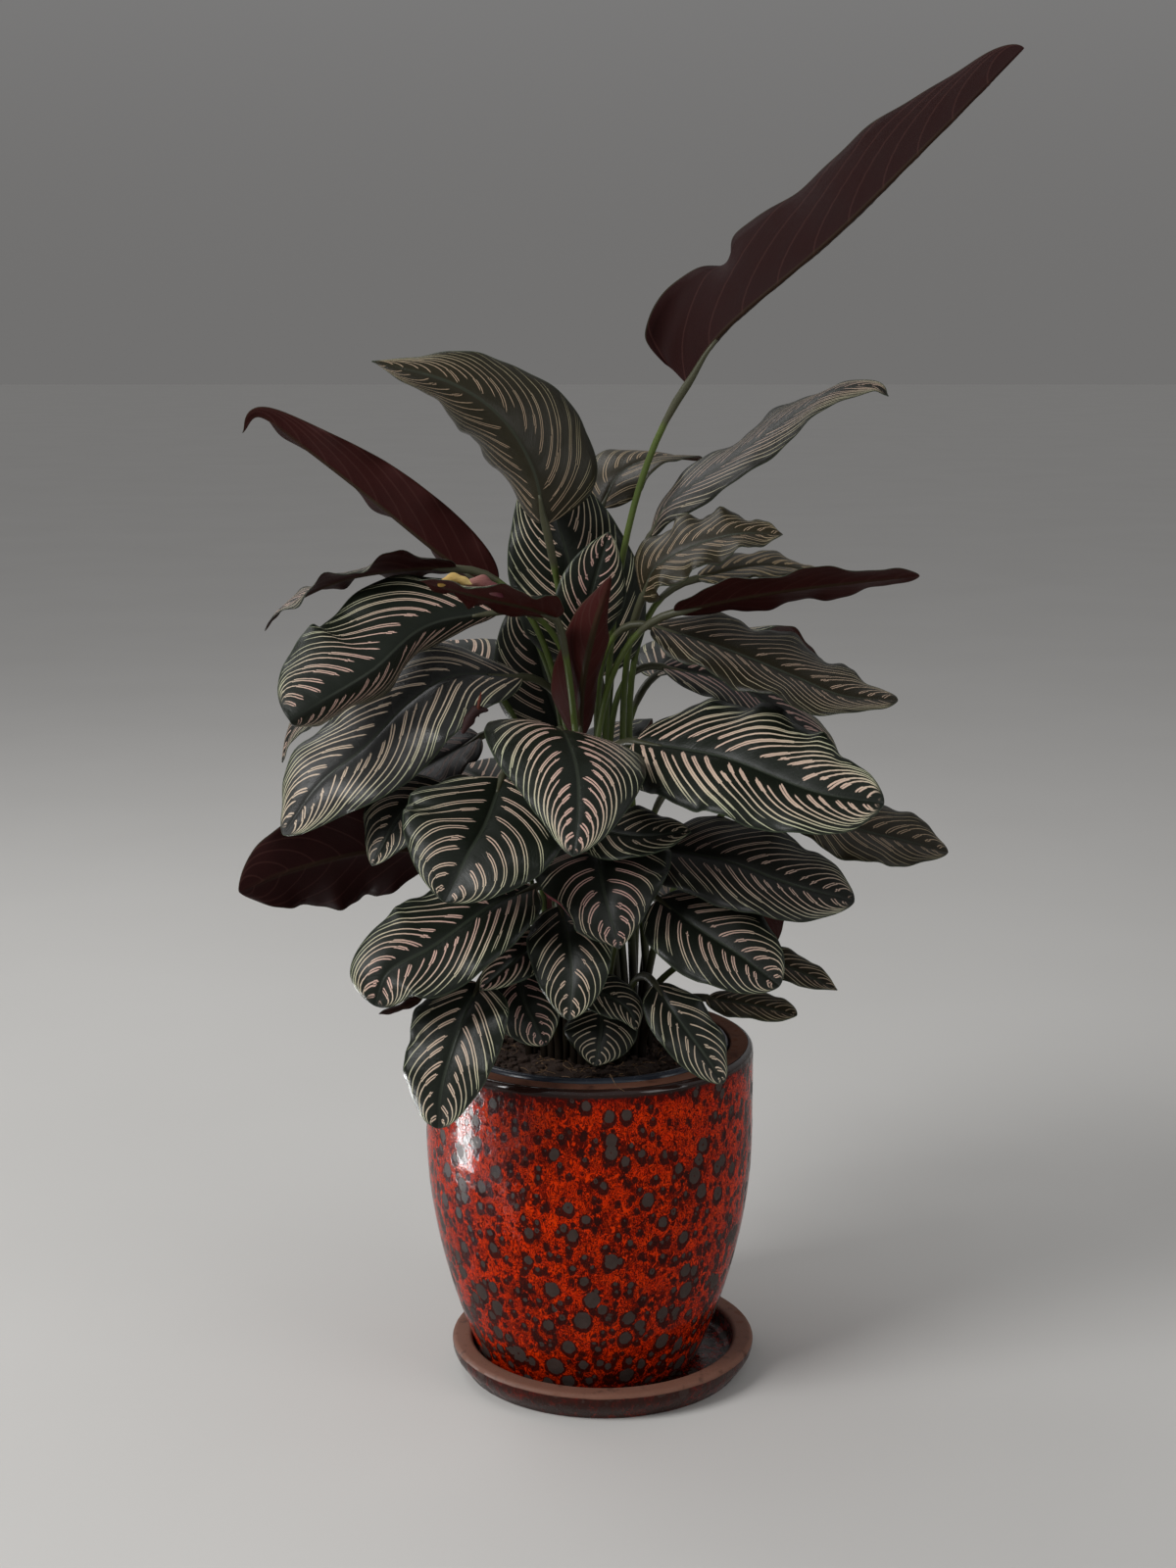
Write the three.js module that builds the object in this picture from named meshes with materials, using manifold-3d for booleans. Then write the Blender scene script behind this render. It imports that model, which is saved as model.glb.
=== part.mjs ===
import * as THREE from "three";
import { mergeVertices } from "three/addons/utils/BufferGeometryUtils.js";
import Module from "manifold-3d";

// A potted pinstripe calathea in its glazed pot on a matching saucer. Millimetres, +Z up.
// The origin is the middle of the saucer's underside, and the plant's best side looks along -Y.
// Every leaf is one piece with its own stalk, and each stalk stands in a plain hole in the soil.

const wasm = await Module();
wasm.setup();

// Driving dimensions
const GAP = 0.3;            // play between pieces that rest on or in each other
const ROUND = 40;           // sides of the saucer, the pots and the soil
const POT_X = -10;          // the pot stands a little off the saucer's middle
const SAUCER = { radius: 112.5, foot: 104, height: 22, floor: 6, rim: 15, hollow: 6, edge: 2,
  band: 8 };
const POT = { height: 242.5, belly: 120, foot: 80, bellyRise: 174, bulge: 1.9, wall: 12 };
const POT_RIM = { width: 17, depth: 12, edge: 5, swell: 30 };
const POT_FOOT = { base: 11, recess: 3, ring: 14, slope: 2, drain: 12, corner: 4 };
const NURSERY = { lip: 102, lipWidth: 8, lipDepth: 12, foot: 70, wall: 2, floor: 3, above: 2 };
const DRAIN = { count: 6, radius: 6, ring: 48 };
const SOIL = { top: 236, bump: 2.2, rings: 4 };
const HOLE = { play: 0.9, depth: 38, sides: 5 };
const BLADE = { thick: 1.0, row: 36, fewest: 4, most: 10, end: 0.01 };
const COLUMNS = [-1, -0.5, 0, 0.5, 1];    // points across a blade, as shares of its half width
const STALK = { radius: 2.5, neck: 3.0, vein: 1.0, sides: 4, steps: 5, straight: 9, rise: 0.4,
  bend: 0.25, above: 2, sunk: 0.12, clear: 1.2 };
const CLUMP = { spacing: 11, radius: 50, back: 20 };

// A leaf's midrib is listed from its base to its tip. Each point [x, z, y] is where the point
// appears from EYE on the upright plane through the origin, with its true depth y last.
// half is half the blade's width, and face is where the upper side looks, at the base and the tip.
// right and left are the slopes of the two halves in degrees, by the midrib and by the margin, and
// the share of the width that the half has. shape sets how full the blade is at its base and tip.
// wave is the margin's ripple: its height, how many there are, and where the first one starts.
// bend is how far ahead of its blade the stalk starts to bend.
const EYE = [-11, -1660, 762];
const SLOPE = [18, -12];
const SHAPE = [0.55, 0.85];
const WAVE = [2, 3, 0];
const OTHER_SIDE = 0.37;                  // how far the left margin's ripple is ahead
const LEAVES = [
  { name: "tall", half: 60, face: [[0.1, 0.95, 0.1], [0.1, 0.95, 0.1]],
    rib: [[58, 722, -35], [84, 759, -45], [157, 821, -65], [226, 888, -85], [284, 947, -95]],
    right: [35, 55], left: [80, 110], shape: [0.15, 0.5], wave: [3, 2.5, 0.1] },
  { name: "reach_left", half: 46, face: [[0.3, 0.5, 0.8], [0, 0.3, 0.9]],
    rib: [[-77, 578, 30], [-115, 604, 30], [-162, 642, 32], [-207, 677, 32], [-239, 700, 28],
      [-252, 689, 24]],
    right: [30, 10], left: [45, 65, 0.68], shape: [0.45, 0.9], wave: [4, 3, 0.3] },
  { name: "low_reach_left", half: 32, face: [[0.1, 0.5, 0.85], [-0.3, -0.1, 0.9]],
    rib: [[-104, 594, -20], [-134, 594, -25], [-184, 586, -30], [-226, 566, -35], [-240, 550, -38]],
    wave: [5, 3, 0] },
  { name: "left_broad", half: 59, face: [[-0.1, -0.8, 0.6], [-0.2, -0.8, 0.5]],
    rib: [[-73, 564, -35], [-126, 553, -60], [-164, 522, -90], [-198, 501, -108],
      [-224, 485, -118]],
    right: [5, -15], left: [-70, -125, 0.7], shape: [0.6, 0.45], wave: [3, 3, 0.2] },
  { name: "left_sliver", half: 28, face: [[0, 0.1, 1], [-0.6, -0.3, 0.5]],
    rib: [[-122, 523, 10], [-159, 508, 5], [-200, 493, -5], [-221, 479, -8], [-230, 455, -10]],
    wave: [3, 3, 0.1] },
  { name: "left_drape", half: 46, face: [[-0.3, -0.5, 0.8], [-0.4, -0.7, 0.4]],
    rib: [[-58, 517, -5], [-105, 518, -28], [-138, 499, -48], [-171, 466, -65], [-204, 439, -75],
      [-231, 402, -78]],
    left: [5, -30], shape: [0.6, 0.7], wave: [4, 3.5, 0.4] },
  { name: "dusk_low_left", half: 46, face: [[-0.2, 0.75, 0.6], [-0.2, 0.8, 0.4]],
    rib: [[-121, 390, -20], [-167, 390, -35], [-224, 376, -50], [-264, 360, -60]],
    right: [0, -10], left: [15, 30], shape: [0.45, 0.7], wave: [5, 3, 0.2] },
  { name: "dusk_left", half: 40, face: [[-0.3, -0.4, 0.8], [-0.4, -0.5, 0.7]],
    rib: [[-88, 474, 18], [-130, 450, 8], [-173, 429, -4], [-201, 415, -10]],
    shape: [0.5, 0.6], wave: [6, 4, 0.2] },
  { name: "peep_left", half: 30, face: [[-0.2, -0.5, 0.8], [-0.5, -0.7, 0.3]],
    rib: [[-115, 439, -45], [-145, 418, -60], [-167, 379, -75]],
    wave: [2, 2, 0.2] },
  { name: "front_left", half: 56, face: [[0, -0.6, 0.8], [0, -0.8, 0.5]],
    rib: [[-73, 443, -85], [-85, 410, -120], [-98, 387, -142], [-115, 352, -160]],
    shape: [0.5, 0.7], wave: [3, 3, 0.4] },
  { name: "front_centre", half: 56, face: [[0.3, -0.1, 1], [0, -0.95, 0.25]],
    rib: [[-31, 479, -48], [-27, 475, -100], [-19, 450, -150], [-18, 418, -178], [-22, 386, -196]],
    right: [10, -25], left: [10, -25], shape: [0.36, 0.75], wave: [2, 2.5, 0.2] },
  { name: "front_right", half: 52, face: [[0.1, -0.7, 0.7], [0.2, -0.7, 0.6]],
    rib: [[23, 470, -50], [61, 464, -80], [95, 456, -104], [151, 434, -132], [202, 425, -142]],
    shape: [0.42, 0.6], wave: [4, 4, 0.1] },
  { name: "right_low", half: 36, face: [[0.2, -0.5, 0.8], [0.3, -0.5, 0.8]],
    rib: [[130, 429, -40], [178, 408, -50], [215, 398, -55], [249, 389, -60]],
    shape: [0.5, 0.65], wave: [3, 3, 0.5] },
  { name: "under_right", half: 26, face: [[0, -0.6, 0.8], [0, -0.6, 0.8]],
    rib: [[-18, 409, -70], [24, 401, -95], [63, 404, -112]],
    wave: [2, 2, 0] },
  { name: "right_shelf", half: 42, face: [[0.1, -0.6, 0.8], [0.2, -0.6, 0.7]],
    rib: [[31, 393, -60], [88, 383, -90], [131, 367, -105], [182, 352, -118]],
    shape: [0.5, 0.6], wave: [3, 3, 0.3] },
  { name: "right_skirt", half: 37, face: [[0.1, -0.7, 0.7], [0.2, -0.8, 0.5]],
    rib: [[40, 354, -85], [71, 331, -112], [100, 312, -128], [129, 289, -140]],
    shape: [0.45, 0.6], wave: [2, 3, 0.2] },
  { name: "right_hidden", half: 15, face: [[0.2, -0.6, 0.8], [0.3, -0.6, 0.7]],
    rib: [[107, 314, -55], [143, 300, -68], [171, 286, -78]],
    wave: [1.5, 2, 0.3] },
  { name: "right_small", half: 17, face: [[0.2, -0.5, 0.8], [0.3, -0.5, 0.8]],
    rib: [[76, 280, -50], [111, 274, -68], [142, 267, -80]],
    shape: [0.5, 0.6], wave: [1.5, 2, 0.1] },
  { name: "rim_right", half: 22, face: [[0.1, -0.7, 0.7], [0.3, -0.8, 0.4]],
    rib: [[38, 290, -88], [52, 268, -104], [70, 243, -112], [89, 215, -118]],
    shape: [0.5, 0.65], wave: [2, 2.5, 0.1] },
  { name: "soil_front", half: 26, face: [[0, -0.7, 0.7], [0, -0.9, 0.4]],
    rib: [[-1, 271, -70], [-2, 252, -82], [-6, 228, -90]],
    wave: [1.5, 2, 0.2] },
  { name: "soil_curl", half: 18, face: [[0, -0.6, 0.8], [0.5, -0.6, 0.4]],
    rib: [[-18, 288, -82], [2, 282, -94], [18, 271, -100], [25, 255, -104]],
    wave: [1, 2, 0.4] },
  { name: "front_drop", half: 29, face: [[0, -0.7, 0.7], [0, -0.95, 0.3]],
    rib: [[-31, 349, -80], [-25, 323, -108], [-23, 294, -124], [-25, 263, -132]],
    shape: [0.5, 0.7], wave: [2, 2.5, 0.3] },
  { name: "front_leaflet", half: 27, face: [[0, -0.7, 0.7], [0.1, -0.9, 0.4]],
    rib: [[-62, 307, -74], [-58, 279, -97], [-50, 260, -106], [-42, 244, -110]],
    shape: [0.5, 0.7], bend: 0.1, wave: [1.5, 2, 0.1] },
  { name: "front_pink", half: 50, face: [[0, -0.7, 0.7], [0, -0.9, 0.4]],
    rib: [[-5, 393, -75], [-2, 374, -100], [3, 350, -120], [12, 317, -132]],
    shape: [0.3, 0.85], wave: [3, 3, 0.3] },
  { name: "left_skirt", half: 39, face: [[-0.2, -0.7, 0.7], [-0.3, -0.8, 0.4]],
    rib: [[-50, 363, -78], [-82, 349, -110], [-124, 319, -136], [-156, 300, -150],
      [-167, 274, -154]],
    shape: [0.55, 0.5], wave: [3, 3, 0.4] },
  { name: "rim_left", half: 33, face: [[-0.2, -0.8, 0.6], [-0.25, -0.95, 0.2]],
    rib: [[-90, 291, -110], [-101, 268, -132], [-111, 240, -144], [-119, 210, -150],
      [-122, 180, -153]],
    shape: [0.4, 0.6], wave: [3, 3, 0.2] },
  { name: "low_tip_left", half: 14, face: [[-0.1, 0.5, 0.8], [-0.1, 0.5, 0.8]],
    rib: [[-122, 288, -35], [-144, 274, -45], [-164, 268, -50]],
    wave: [1, 2, 0] },
  { name: "front_peep", half: 19, face: [[-0.1, -0.7, 0.7], [-0.2, -0.8, 0.4]],
    rib: [[-39, 331, -84], [-65, 308, -108], [-90, 286, -124]],
    wave: [1, 2, 0.4] },
  { name: "crown_left", half: 54, face: [[0.3, -0.8, 0.5], [0.1, -0.7, 0.7]],
    rib: [[-41, 625, -25], [-50, 665, -35], [-72, 700, -45], [-108, 724, -50], [-161, 738, -50]],
    right: [5, -10], left: [-70, -115], shape: [0.38, 1.1], wave: [2, 3, 0.2] },
  { name: "crown_back", half: 47, face: [[-0.1, -0.98, 0.2], [-0.1, -0.9, 0.3]],
    rib: [[-3, 517, 25], [-10, 553, 18], [-25, 601, 12], [-38, 649, 15], [-42, 675, 25]],
    wave: [2.5, 3, 0.1] },
  { name: "crown_small", half: 25, face: [[0.2, -0.97, 0.1], [0.2, -0.97, 0.1]],
    rib: [[-17, 542, -15], [-8, 580, -22], [4, 620, -22]],
    wave: [1.5, 2, 0.2] },
  { name: "spear", half: 25, face: [[0, 1, 0], [0, 1, 0]],
    rib: [[-17, 470, -18], [-15, 510, -40], [-8, 546, -58], [5, 589, -66]],
    right: [10, 50], left: [20, 100], shape: [0.6, 0.9], wave: [2, 2, 0.2] },
  { name: "curl_left", half: 34, face: [[0, 0.3, 0.95], [0, 0.25, 0.96]],
    rib: [[-35, 559, -62], [-53, 566, -75], [-80, 572, -92], [-111, 580, -103], [-131, 586, -107]],
    bend: 0.05, wave: [3, 3, 0.2] },
  { name: "crown_right", half: 30, face: [[-0.55, -0.25, 0.8], [-0.4, -0.1, 0.9]],
    rib: [[33, 617, 10], [47, 641, 4], [88, 670, -6], [126, 697, -16], [159, 717, -24],
      [187, 721, -30], [198, 714, -33]],
    right: [5, -40], left: [10, 0], shape: [0.6, 0.9], wave: [3, 3, 0.1] },
  { name: "crown_rear", half: 36, face: [[-0.4, -0.6, 0.6], [0, 0.2, 0.9]],
    rib: [[-1, 637, 50], [10, 659, 55], [34, 671, 62], [70, 670, 75]],
    wave: [2, 2, 0.3] },
  { name: "right_fan", half: 34, face: [[-0.2, -0.6, 0.8], [0, -0.4, 0.9]],
    rib: [[28, 575, -32], [36, 594, -42], [58, 608, -52], [92, 618, -58], [126, 618, -60]],
    shape: [0.5, 0.75], wave: [4, 4, 0.2] },
  { name: "right_blade", half: 32, face: [[0, 0.45, 0.9], [0, 0.4, 0.9]],
    rib: [[51, 563, -62], [86, 571, -75], [127, 578, -86], [176, 584, -93], [223, 589, -96]],
    shape: [0.5, 0.6], wave: [2.5, 3, 0.4] },
  { name: "right_behind", half: 28, face: [[0, -0.3, 0.95], [0, -0.2, 0.95]],
    rib: [[66, 587, 25], [113, 596, 28], [159, 589, 30]],
    wave: [2, 3, 0.1] },
  { name: "right_wing", half: 42, face: [[0.1, -0.4, 0.9], [0.2, -0.4, 0.9]],
    rib: [[35, 553, -35], [69, 543, -48], [102, 531, -60], [136, 517, -72], [171, 503, -84],
      [210, 500, -92]],
    shape: [0.5, 0.65], wave: [4, 3.5, 0.2] },
  { name: "right_dusk", half: 34, face: [[0.2, -0.4, 0.9], [0.3, -0.4, 0.8]],
    rib: [[42, 524, 32], [87, 514, 32], [129, 489, 24], [172, 455, 14]],
    wave: [2, 3, 0.3] },
  { name: "stem_shade", half: 38, face: [[0, -1, 0.2], [0, -1, 0.2]],
    rib: [[-29, 474, 45], [-40, 510, 50], [-49, 553, 52], [-49, 580, 60]],
    wave: [2, 2, 0.3] },
  { name: "back_high", half: 34, face: [[0, 0.5, 0.9], [0, 0.8, 0.6]],
    rib: [[-19, 510, 70], [-25, 553, 105], [-28, 587, 150], [-28, 587, 195]],
    wave: [3, 3, 0.3] },
  { name: "back_high_left", half: 44, face: [[-0.2, 0.4, 0.9], [-0.5, 0.6, 0.6]],
    rib: [[-75, 510, 75], [-105, 539, 120], [-147, 535, 165], [-171, 510, 195]],
    shape: [0.5, 0.6], wave: [4, 3, 0.2] },
  { name: "back_high_right", half: 44, face: [[0.2, 0.4, 0.9], [0.5, 0.6, 0.6]],
    rib: [[36, 517, 55], [72, 546, 110], [121, 539, 160], [149, 510, 190]],
    shape: [0.5, 0.6], wave: [4, 3, 0.5] },
  { name: "back_mid", half: 50, face: [[0, 0.4, 0.9], [0, 0.9, 0.4]],
    rib: [[-15, 457, 80], [-11, 479, 140], [-7, 461, 200], [-7, 425, 240]],
    shape: [0.5, 0.6], wave: [4, 3, 0.1] },
  { name: "back_mid_left", half: 46, face: [[-0.2, 0.4, 0.9], [-0.5, 0.7, 0.5]],
    rib: [[-78, 436, 60], [-106, 450, 120], [-138, 429, 180], [-149, 389, 215]],
    shape: [0.5, 0.65], wave: [3, 3, 0.3] },
  { name: "back_mid_right", half: 48, face: [[0.2, 0.4, 0.9], [0.5, 0.7, 0.5]],
    rib: [[52, 439, 60], [91, 454, 115], [130, 439, 170], [151, 403, 205]],
    shape: [0.5, 0.65], wave: [3, 3, 0.6] },
  { name: "back_low_left", half: 38, face: [[-0.2, 0.4, 0.9], [-0.5, 0.7, 0.5]],
    rib: [[-68, 342, 55], [-93, 349, 105], [-118, 334, 150], [-129, 301, 175]],
    shape: [0.5, 0.65], wave: [3, 3, 0.3] },
  { name: "back_low", half: 42, face: [[0, 0.4, 0.9], [0, 0.9, 0.4]],
    rib: [[-11, 352, 75], [-11, 363, 130], [-11, 345, 180], [-11, 308, 205]],
    shape: [0.5, 0.65], wave: [3, 3, 0.3] },
  { name: "back_low_right", half: 38, face: [[0.2, 0.4, 0.9], [0.5, 0.7, 0.5]],
    rib: [[46, 356, 55], [78, 367, 100], [106, 352, 145], [121, 319, 165]],
    shape: [0.5, 0.65], wave: [3, 3, 0.1] },
];

// Closed meshes
function geometry(points, faces) {
  const shape = new THREE.BufferGeometry();
  shape.setAttribute("position", new THREE.Float32BufferAttribute(points, 3));
  shape.setIndex(faces);
  return shape;
}

function solid(shape) {
  const bare = shape.clone();
  bare.deleteAttribute("normal");
  bare.deleteAttribute("uv");
  const merged = mergeVertices(bare, 1e-3);
  const index = merged.index.array;
  const faces = [];
  for (let i = 0; i < index.length; i += 3) {
    const [a, b, c] = [index[i], index[i + 1], index[i + 2]];
    if (a !== b && b !== c && c !== a) {
      faces.push(a, b, c);
    }
  }
  return new wasm.Manifold(new wasm.Mesh({
    numProp: 3,
    vertProperties: new Float32Array(merged.attributes.position.array),
    triVerts: new Uint32Array(faces),
  }));
}

function meshed(body) {
  const { numProp, vertProperties, triVerts } = body.getMesh();
  const points = [];
  for (let i = 0; i < vertProperties.length; i += numProp) {
    points.push(vertProperties[i], vertProperties[i + 1], vertProperties[i + 2]);
  }
  return geometry(points, [...triVerts]);
}

// Round pieces: an outline of [radius, height] points turned about an upright axis
function turned(outline) {
  const points = outline.map(([r, z]) => new THREE.Vector2(r, z));
  return new THREE.LatheGeometry(points, ROUND).rotateX(Math.PI / 2);
}

function arc(r, z, radius, from, to, steps) {
  const points = [];
  for (let i = 0; i <= steps; i++) {
    const a = THREE.MathUtils.degToRad(from + ((to - from) * i) / steps);
    points.push([r + radius * Math.cos(a), z + radius * Math.sin(a)]);
  }
  return points;
}

function saucerShape() {
  const { radius, foot, height, floor, rim, hollow, edge, band } = SAUCER;
  const inner = radius - rim;
  return turned([
    [0, 0],
    [foot, 0],
    [radius, height - band],
    ...arc(radius - edge, height - edge, edge, 0, 90, 2),
    ...arc(inner + edge, height - edge, edge, 90, 180, 2),
    ...arc(inner - hollow, floor + hollow, hollow, 0, -90, 3),
    [0, floor],
  ]);
}

// The pot's side is upright above its belly and draws in below it
function potRadius(rise) {
  const below = Math.max(0, POT.bellyRise - rise) / POT.bellyRise;
  return POT.belly - (POT.belly - POT.foot) * below ** POT.bulge;
}

function side(from, to, steps, inset) {
  const points = [];
  for (let i = 0; i <= steps; i++) {
    const rise = from + ((to - from) * i) / steps;
    points.push([potRadius(rise) - inset, rise]);
  }
  return points;
}

function potShape() {
  const { width, depth, edge, swell } = POT_RIM;
  const { base, recess, ring, slope, drain, corner } = POT_FOOT;
  const shoulder = POT.height - edge;
  return turned([
    [drain, recess],
    [POT.foot - ring, recess],
    [POT.foot - ring + slope, 0],
    [POT.foot - corner, 0],
    ...side(corner, shoulder - swell, 7, 0),
    ...arc(POT.belly - edge, shoulder, edge, 0, 90, 2),
    [POT.belly - width, POT.height],
    [POT.belly - width, POT.height - depth],
    ...side(base, POT.height - swell, 3, POT.wall).reverse(),
    [drain, base],
    [drain, recess],
  ]).translate(POT_X, 0, SAUCER.floor + GAP);
}

// The plastic nursery pot stands on the pot's base, and its lip shows in the pot's mouth
const potTop = SAUCER.floor + GAP + POT.height;
const nurseryFoot = SAUCER.floor + POT_FOOT.base + 2 * GAP;
const nurseryTop = potTop + NURSERY.above;
const lipLow = nurseryTop - NURSERY.lipDepth;
const nurseryFloor = nurseryFoot + NURSERY.floor;

function nurseryInside(z) {
  const low = NURSERY.foot - NURSERY.wall;
  const high = NURSERY.lip - NURSERY.lipWidth;
  return low + ((high - low) * (z - nurseryFloor)) / (lipLow - nurseryFloor);
}

function nurseryShape() {
  const { lip, lipWidth, foot, wall } = NURSERY;
  const bead = lipWidth / 2;
  let body = solid(turned([
    [0, nurseryFoot],
    [foot, nurseryFoot],
    [nurseryInside(lipLow) + wall, lipLow],
    [lip, lipLow],
    ...arc(lip - bead, nurseryTop - bead, bead, 0, 180, 4),
    [nurseryInside(lipLow), lipLow],
    [nurseryInside(nurseryFloor), nurseryFloor],
    [0, nurseryFloor],
  ]));
  for (let i = 0; i < DRAIN.count; i++) {
    const a = (2 * Math.PI * i) / DRAIN.count;
    body = body.subtract(post(DRAIN.ring * Math.cos(a), DRAIN.ring * Math.sin(a),
      nurseryFoot - 1, nurseryFloor + 1, DRAIN.radius));
  }
  return meshed(body).translate(POT_X, 0, 0);
}

function post(x, y, low, high, radius) {
  const shape = new THREE.CylinderGeometry(radius, radius, high - low, HOLE.sides);
  return solid(shape.rotateX(Math.PI / 2).translate(x, y, (low + high) / 2));
}

// The soil is lumpy on top, and each stalk has a hole of its own in it
function lump(x, y) {
  const broad = Math.sin(0.11 * x + 1) * Math.cos(0.13 * y);
  const fine = 0.5 * Math.sin(0.31 * x - 0.27 * y);
  return SOIL.bump * (broad + fine);
}

function soilShape(feet) {
  const bottom = nurseryFloor + GAP;
  const outline = [[0, bottom], [nurseryInside(bottom) - GAP, bottom]];
  const edge = nurseryInside(SOIL.top) - 3 * GAP;
  for (let i = SOIL.rings; i >= 0; i--) {
    outline.push([(edge * i) / SOIL.rings, SOIL.top]);
  }
  const shape = turned(outline);
  const place = shape.attributes.position;
  for (let i = 0; i < place.count; i++) {
    if (place.getZ(i) > SOIL.top - 1) {
      place.setZ(i, SOIL.top + lump(place.getX(i), place.getY(i)));
    }
  }
  let body = solid(shape.translate(POT_X, 0, 0));
  for (const foot of feet) {
    body = body.subtract(post(foot.x, foot.y, SOIL.top - HOLE.depth, SOIL.top + HOLE.depth,
      STALK.radius + HOLE.play));
  }
  return meshed(body);
}

// Where a midrib point really is
function placed([x, z, y]) {
  const far = (y - EYE[1]) / -EYE[1];
  return new THREE.Vector3(EYE[0] + (x - EYE[0]) * far, y, EYE[2] + (z - EYE[2]) * far);
}

// Half the blade's width along the midrib, from 0 at the base to 1 at the tip
function spread(leaf, t) {
  const [p, q] = leaf.shape ?? SHAPE;
  const widest = p / (p + q);
  const most = widest ** p * (1 - widest) ** q;
  return Math.max(BLADE.thick, (leaf.half * t ** p * (1 - t) ** q) / most);
}

// Sideways and upward reach of a half blade at a share v of its width, curving evenly
function reach([near, far, share = 1], v, width) {
  const mean = THREE.MathUtils.degToRad(near + ((far - near) * v) / 2);
  const half = THREE.MathUtils.degToRad(((far - near) * v) / 2);
  const chord = (Math.abs(half) < 1e-6 ? 1 : Math.sin(half) / half) * v * width * share;
  return [chord * Math.cos(mean), chord * Math.sin(mean)];
}

function bladeShape(leaf, rib) {
  const { clamp, degToRad, lerp } = THREE.MathUtils;
  const steps = clamp(Math.round(rib.getLength() / BLADE.row) + 2, BLADE.fewest, BLADE.most);
  const [height, count, start] = leaf.wave ?? WAVE;
  const [faceBase, faceTip] = leaf.face.map((look) => new THREE.Vector3(...look));
  const top = [];
  const bottom = [];
  for (let i = 0; i <= steps; i++) {
    const t = (1 - Math.cos(Math.PI * lerp(BLADE.end, 1 - BLADE.end, i / steps))) / 2;
    const along = rib.getTangentAt(t);
    const face = faceBase.clone().lerp(faceTip, t);
    const up = face.addScaledVector(along, -face.dot(along)).normalize();
    const across = along.clone().cross(up);
    const width = spread(leaf, t);
    for (const v of COLUMNS) {
      const slopes = (v < 0 ? leaf.left : leaf.right) ?? SLOPE;
      const [out, rise] = reach(slopes, Math.abs(v), width);
      const turn = count * t + start + (v < 0 ? OTHER_SIDE : 0);
      const swell = v * v * Math.sqrt(Math.sin(Math.PI * t));
      const ripple = height * swell * Math.sin(2 * Math.PI * turn);
      const lean = degToRad(lerp(slopes[0], slopes[1], Math.abs(v)));
      const skin = up.clone().multiplyScalar(Math.cos(lean));
      skin.addScaledVector(across, -Math.sign(v) * Math.sin(lean));
      const middle = rib.getPointAt(t).addScaledVector(across, Math.sign(v) * out);
      middle.addScaledVector(up, rise).addScaledVector(skin, ripple);
      top.push(middle.clone().addScaledVector(skin, BLADE.thick / 2));
      bottom.push(middle.clone().addScaledVector(skin, -BLADE.thick / 2));
    }
  }
  return sheet(top, bottom, steps, COLUMNS.length);
}

// A thin plate between two like grids of points, cut into triangles alike on both faces
function sheet(top, bottom, rows, columns) {
  const points = [...top, ...bottom].flatMap((p) => [p.x, p.y, p.z]);
  const under = top.length;
  const faces = [];
  for (let i = 0; i < rows; i++) {
    for (let j = 0; j < columns - 1; j++) {
      const [a, b] = [i * columns + j, i * columns + j + 1];
      const [c, d] = [a + columns, b + columns];
      faces.push(a, b, d, a, d, c);
      faces.push(under + a, under + d, under + b, under + a, under + c, under + d);
    }
    const [left, right] = [i * columns, i * columns + columns - 1];
    wall(faces, left + columns, left, under);
    wall(faces, right, right + columns, under);
  }
  for (let j = 0; j < columns - 1; j++) {
    wall(faces, j, j + 1, under);
    wall(faces, rows * columns + j + 1, rows * columns + j, under);
  }
  return geometry(points, faces);
}

function wall(faces, a, b, under) {
  faces.push(a, under + a, under + b, a, under + b, b);
}

// A stalk rises straight out of the soil, bends over to its blade and runs on as the midrib
function stalkShape(leaf, rib, foot, extra) {
  const low = SOIL.top - HOLE.depth + STALK.above;
  const rise = SOIL.top + STALK.straight;
  const base = rib.getPointAt(0);
  const span = base.distanceTo(new THREE.Vector3(foot.x, foot.y, rise));
  const path = new THREE.CubicBezierCurve3(
    new THREE.Vector3(foot.x, foot.y, rise),
    new THREE.Vector3(foot.x, foot.y, rise + span * STALK.rise),
    base.clone().addScaledVector(rib.getTangentAt(0), -span * (leaf.bend ?? STALK.bend)),
    base,
  );
  const points = [new THREE.Vector3(foot.x, foot.y, low)];
  const radii = [STALK.radius];
  for (let i = 0; i < STALK.steps; i++) {
    points.push(path.getPoint(i / STALK.steps));
    radii.push(STALK.radius);
  }
  points.push(base);
  radii.push(STALK.neck);
  points.push(rib.getPointAt(STALK.sunk));
  radii.push(STALK.vein);
  return tube(points, radii.map((radius) => radius + extra), STALK.sides);
}

function tube(points, radii, sides) {
  const rings = [];
  const faces = [];
  let across = new THREE.Vector3(1, 0, 0);
  for (let i = 0; i < points.length; i++) {
    const before = points[Math.max(0, i - 1)];
    const after = points[Math.min(points.length - 1, i + 1)];
    const along = after.clone().sub(before).normalize();
    across = across.addScaledVector(along, -across.dot(along)).normalize();
    const up = along.clone().cross(across);
    for (let j = 0; j < sides; j++) {
      const a = (2 * Math.PI * j) / sides;
      const p = points[i].clone().addScaledVector(across, radii[i] * Math.cos(a));
      p.addScaledVector(up, radii[i] * Math.sin(a));
      rings.push(p.x, p.y, p.z);
    }
  }
  for (let i = 0; i < points.length - 1; i++) {
    for (let j = 0; j < sides; j++) {
      const [a, b] = [i * sides + j, i * sides + ((j + 1) % sides)];
      faces.push(a, b, b + sides, a, b + sides, a + sides);
    }
  }
  const last = (points.length - 1) * sides;
  for (let j = 1; j < sides - 1; j++) {
    faces.push(0, j + 1, j, last, last + j, last + j + 1);
  }
  return geometry(rings, faces);
}

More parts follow.
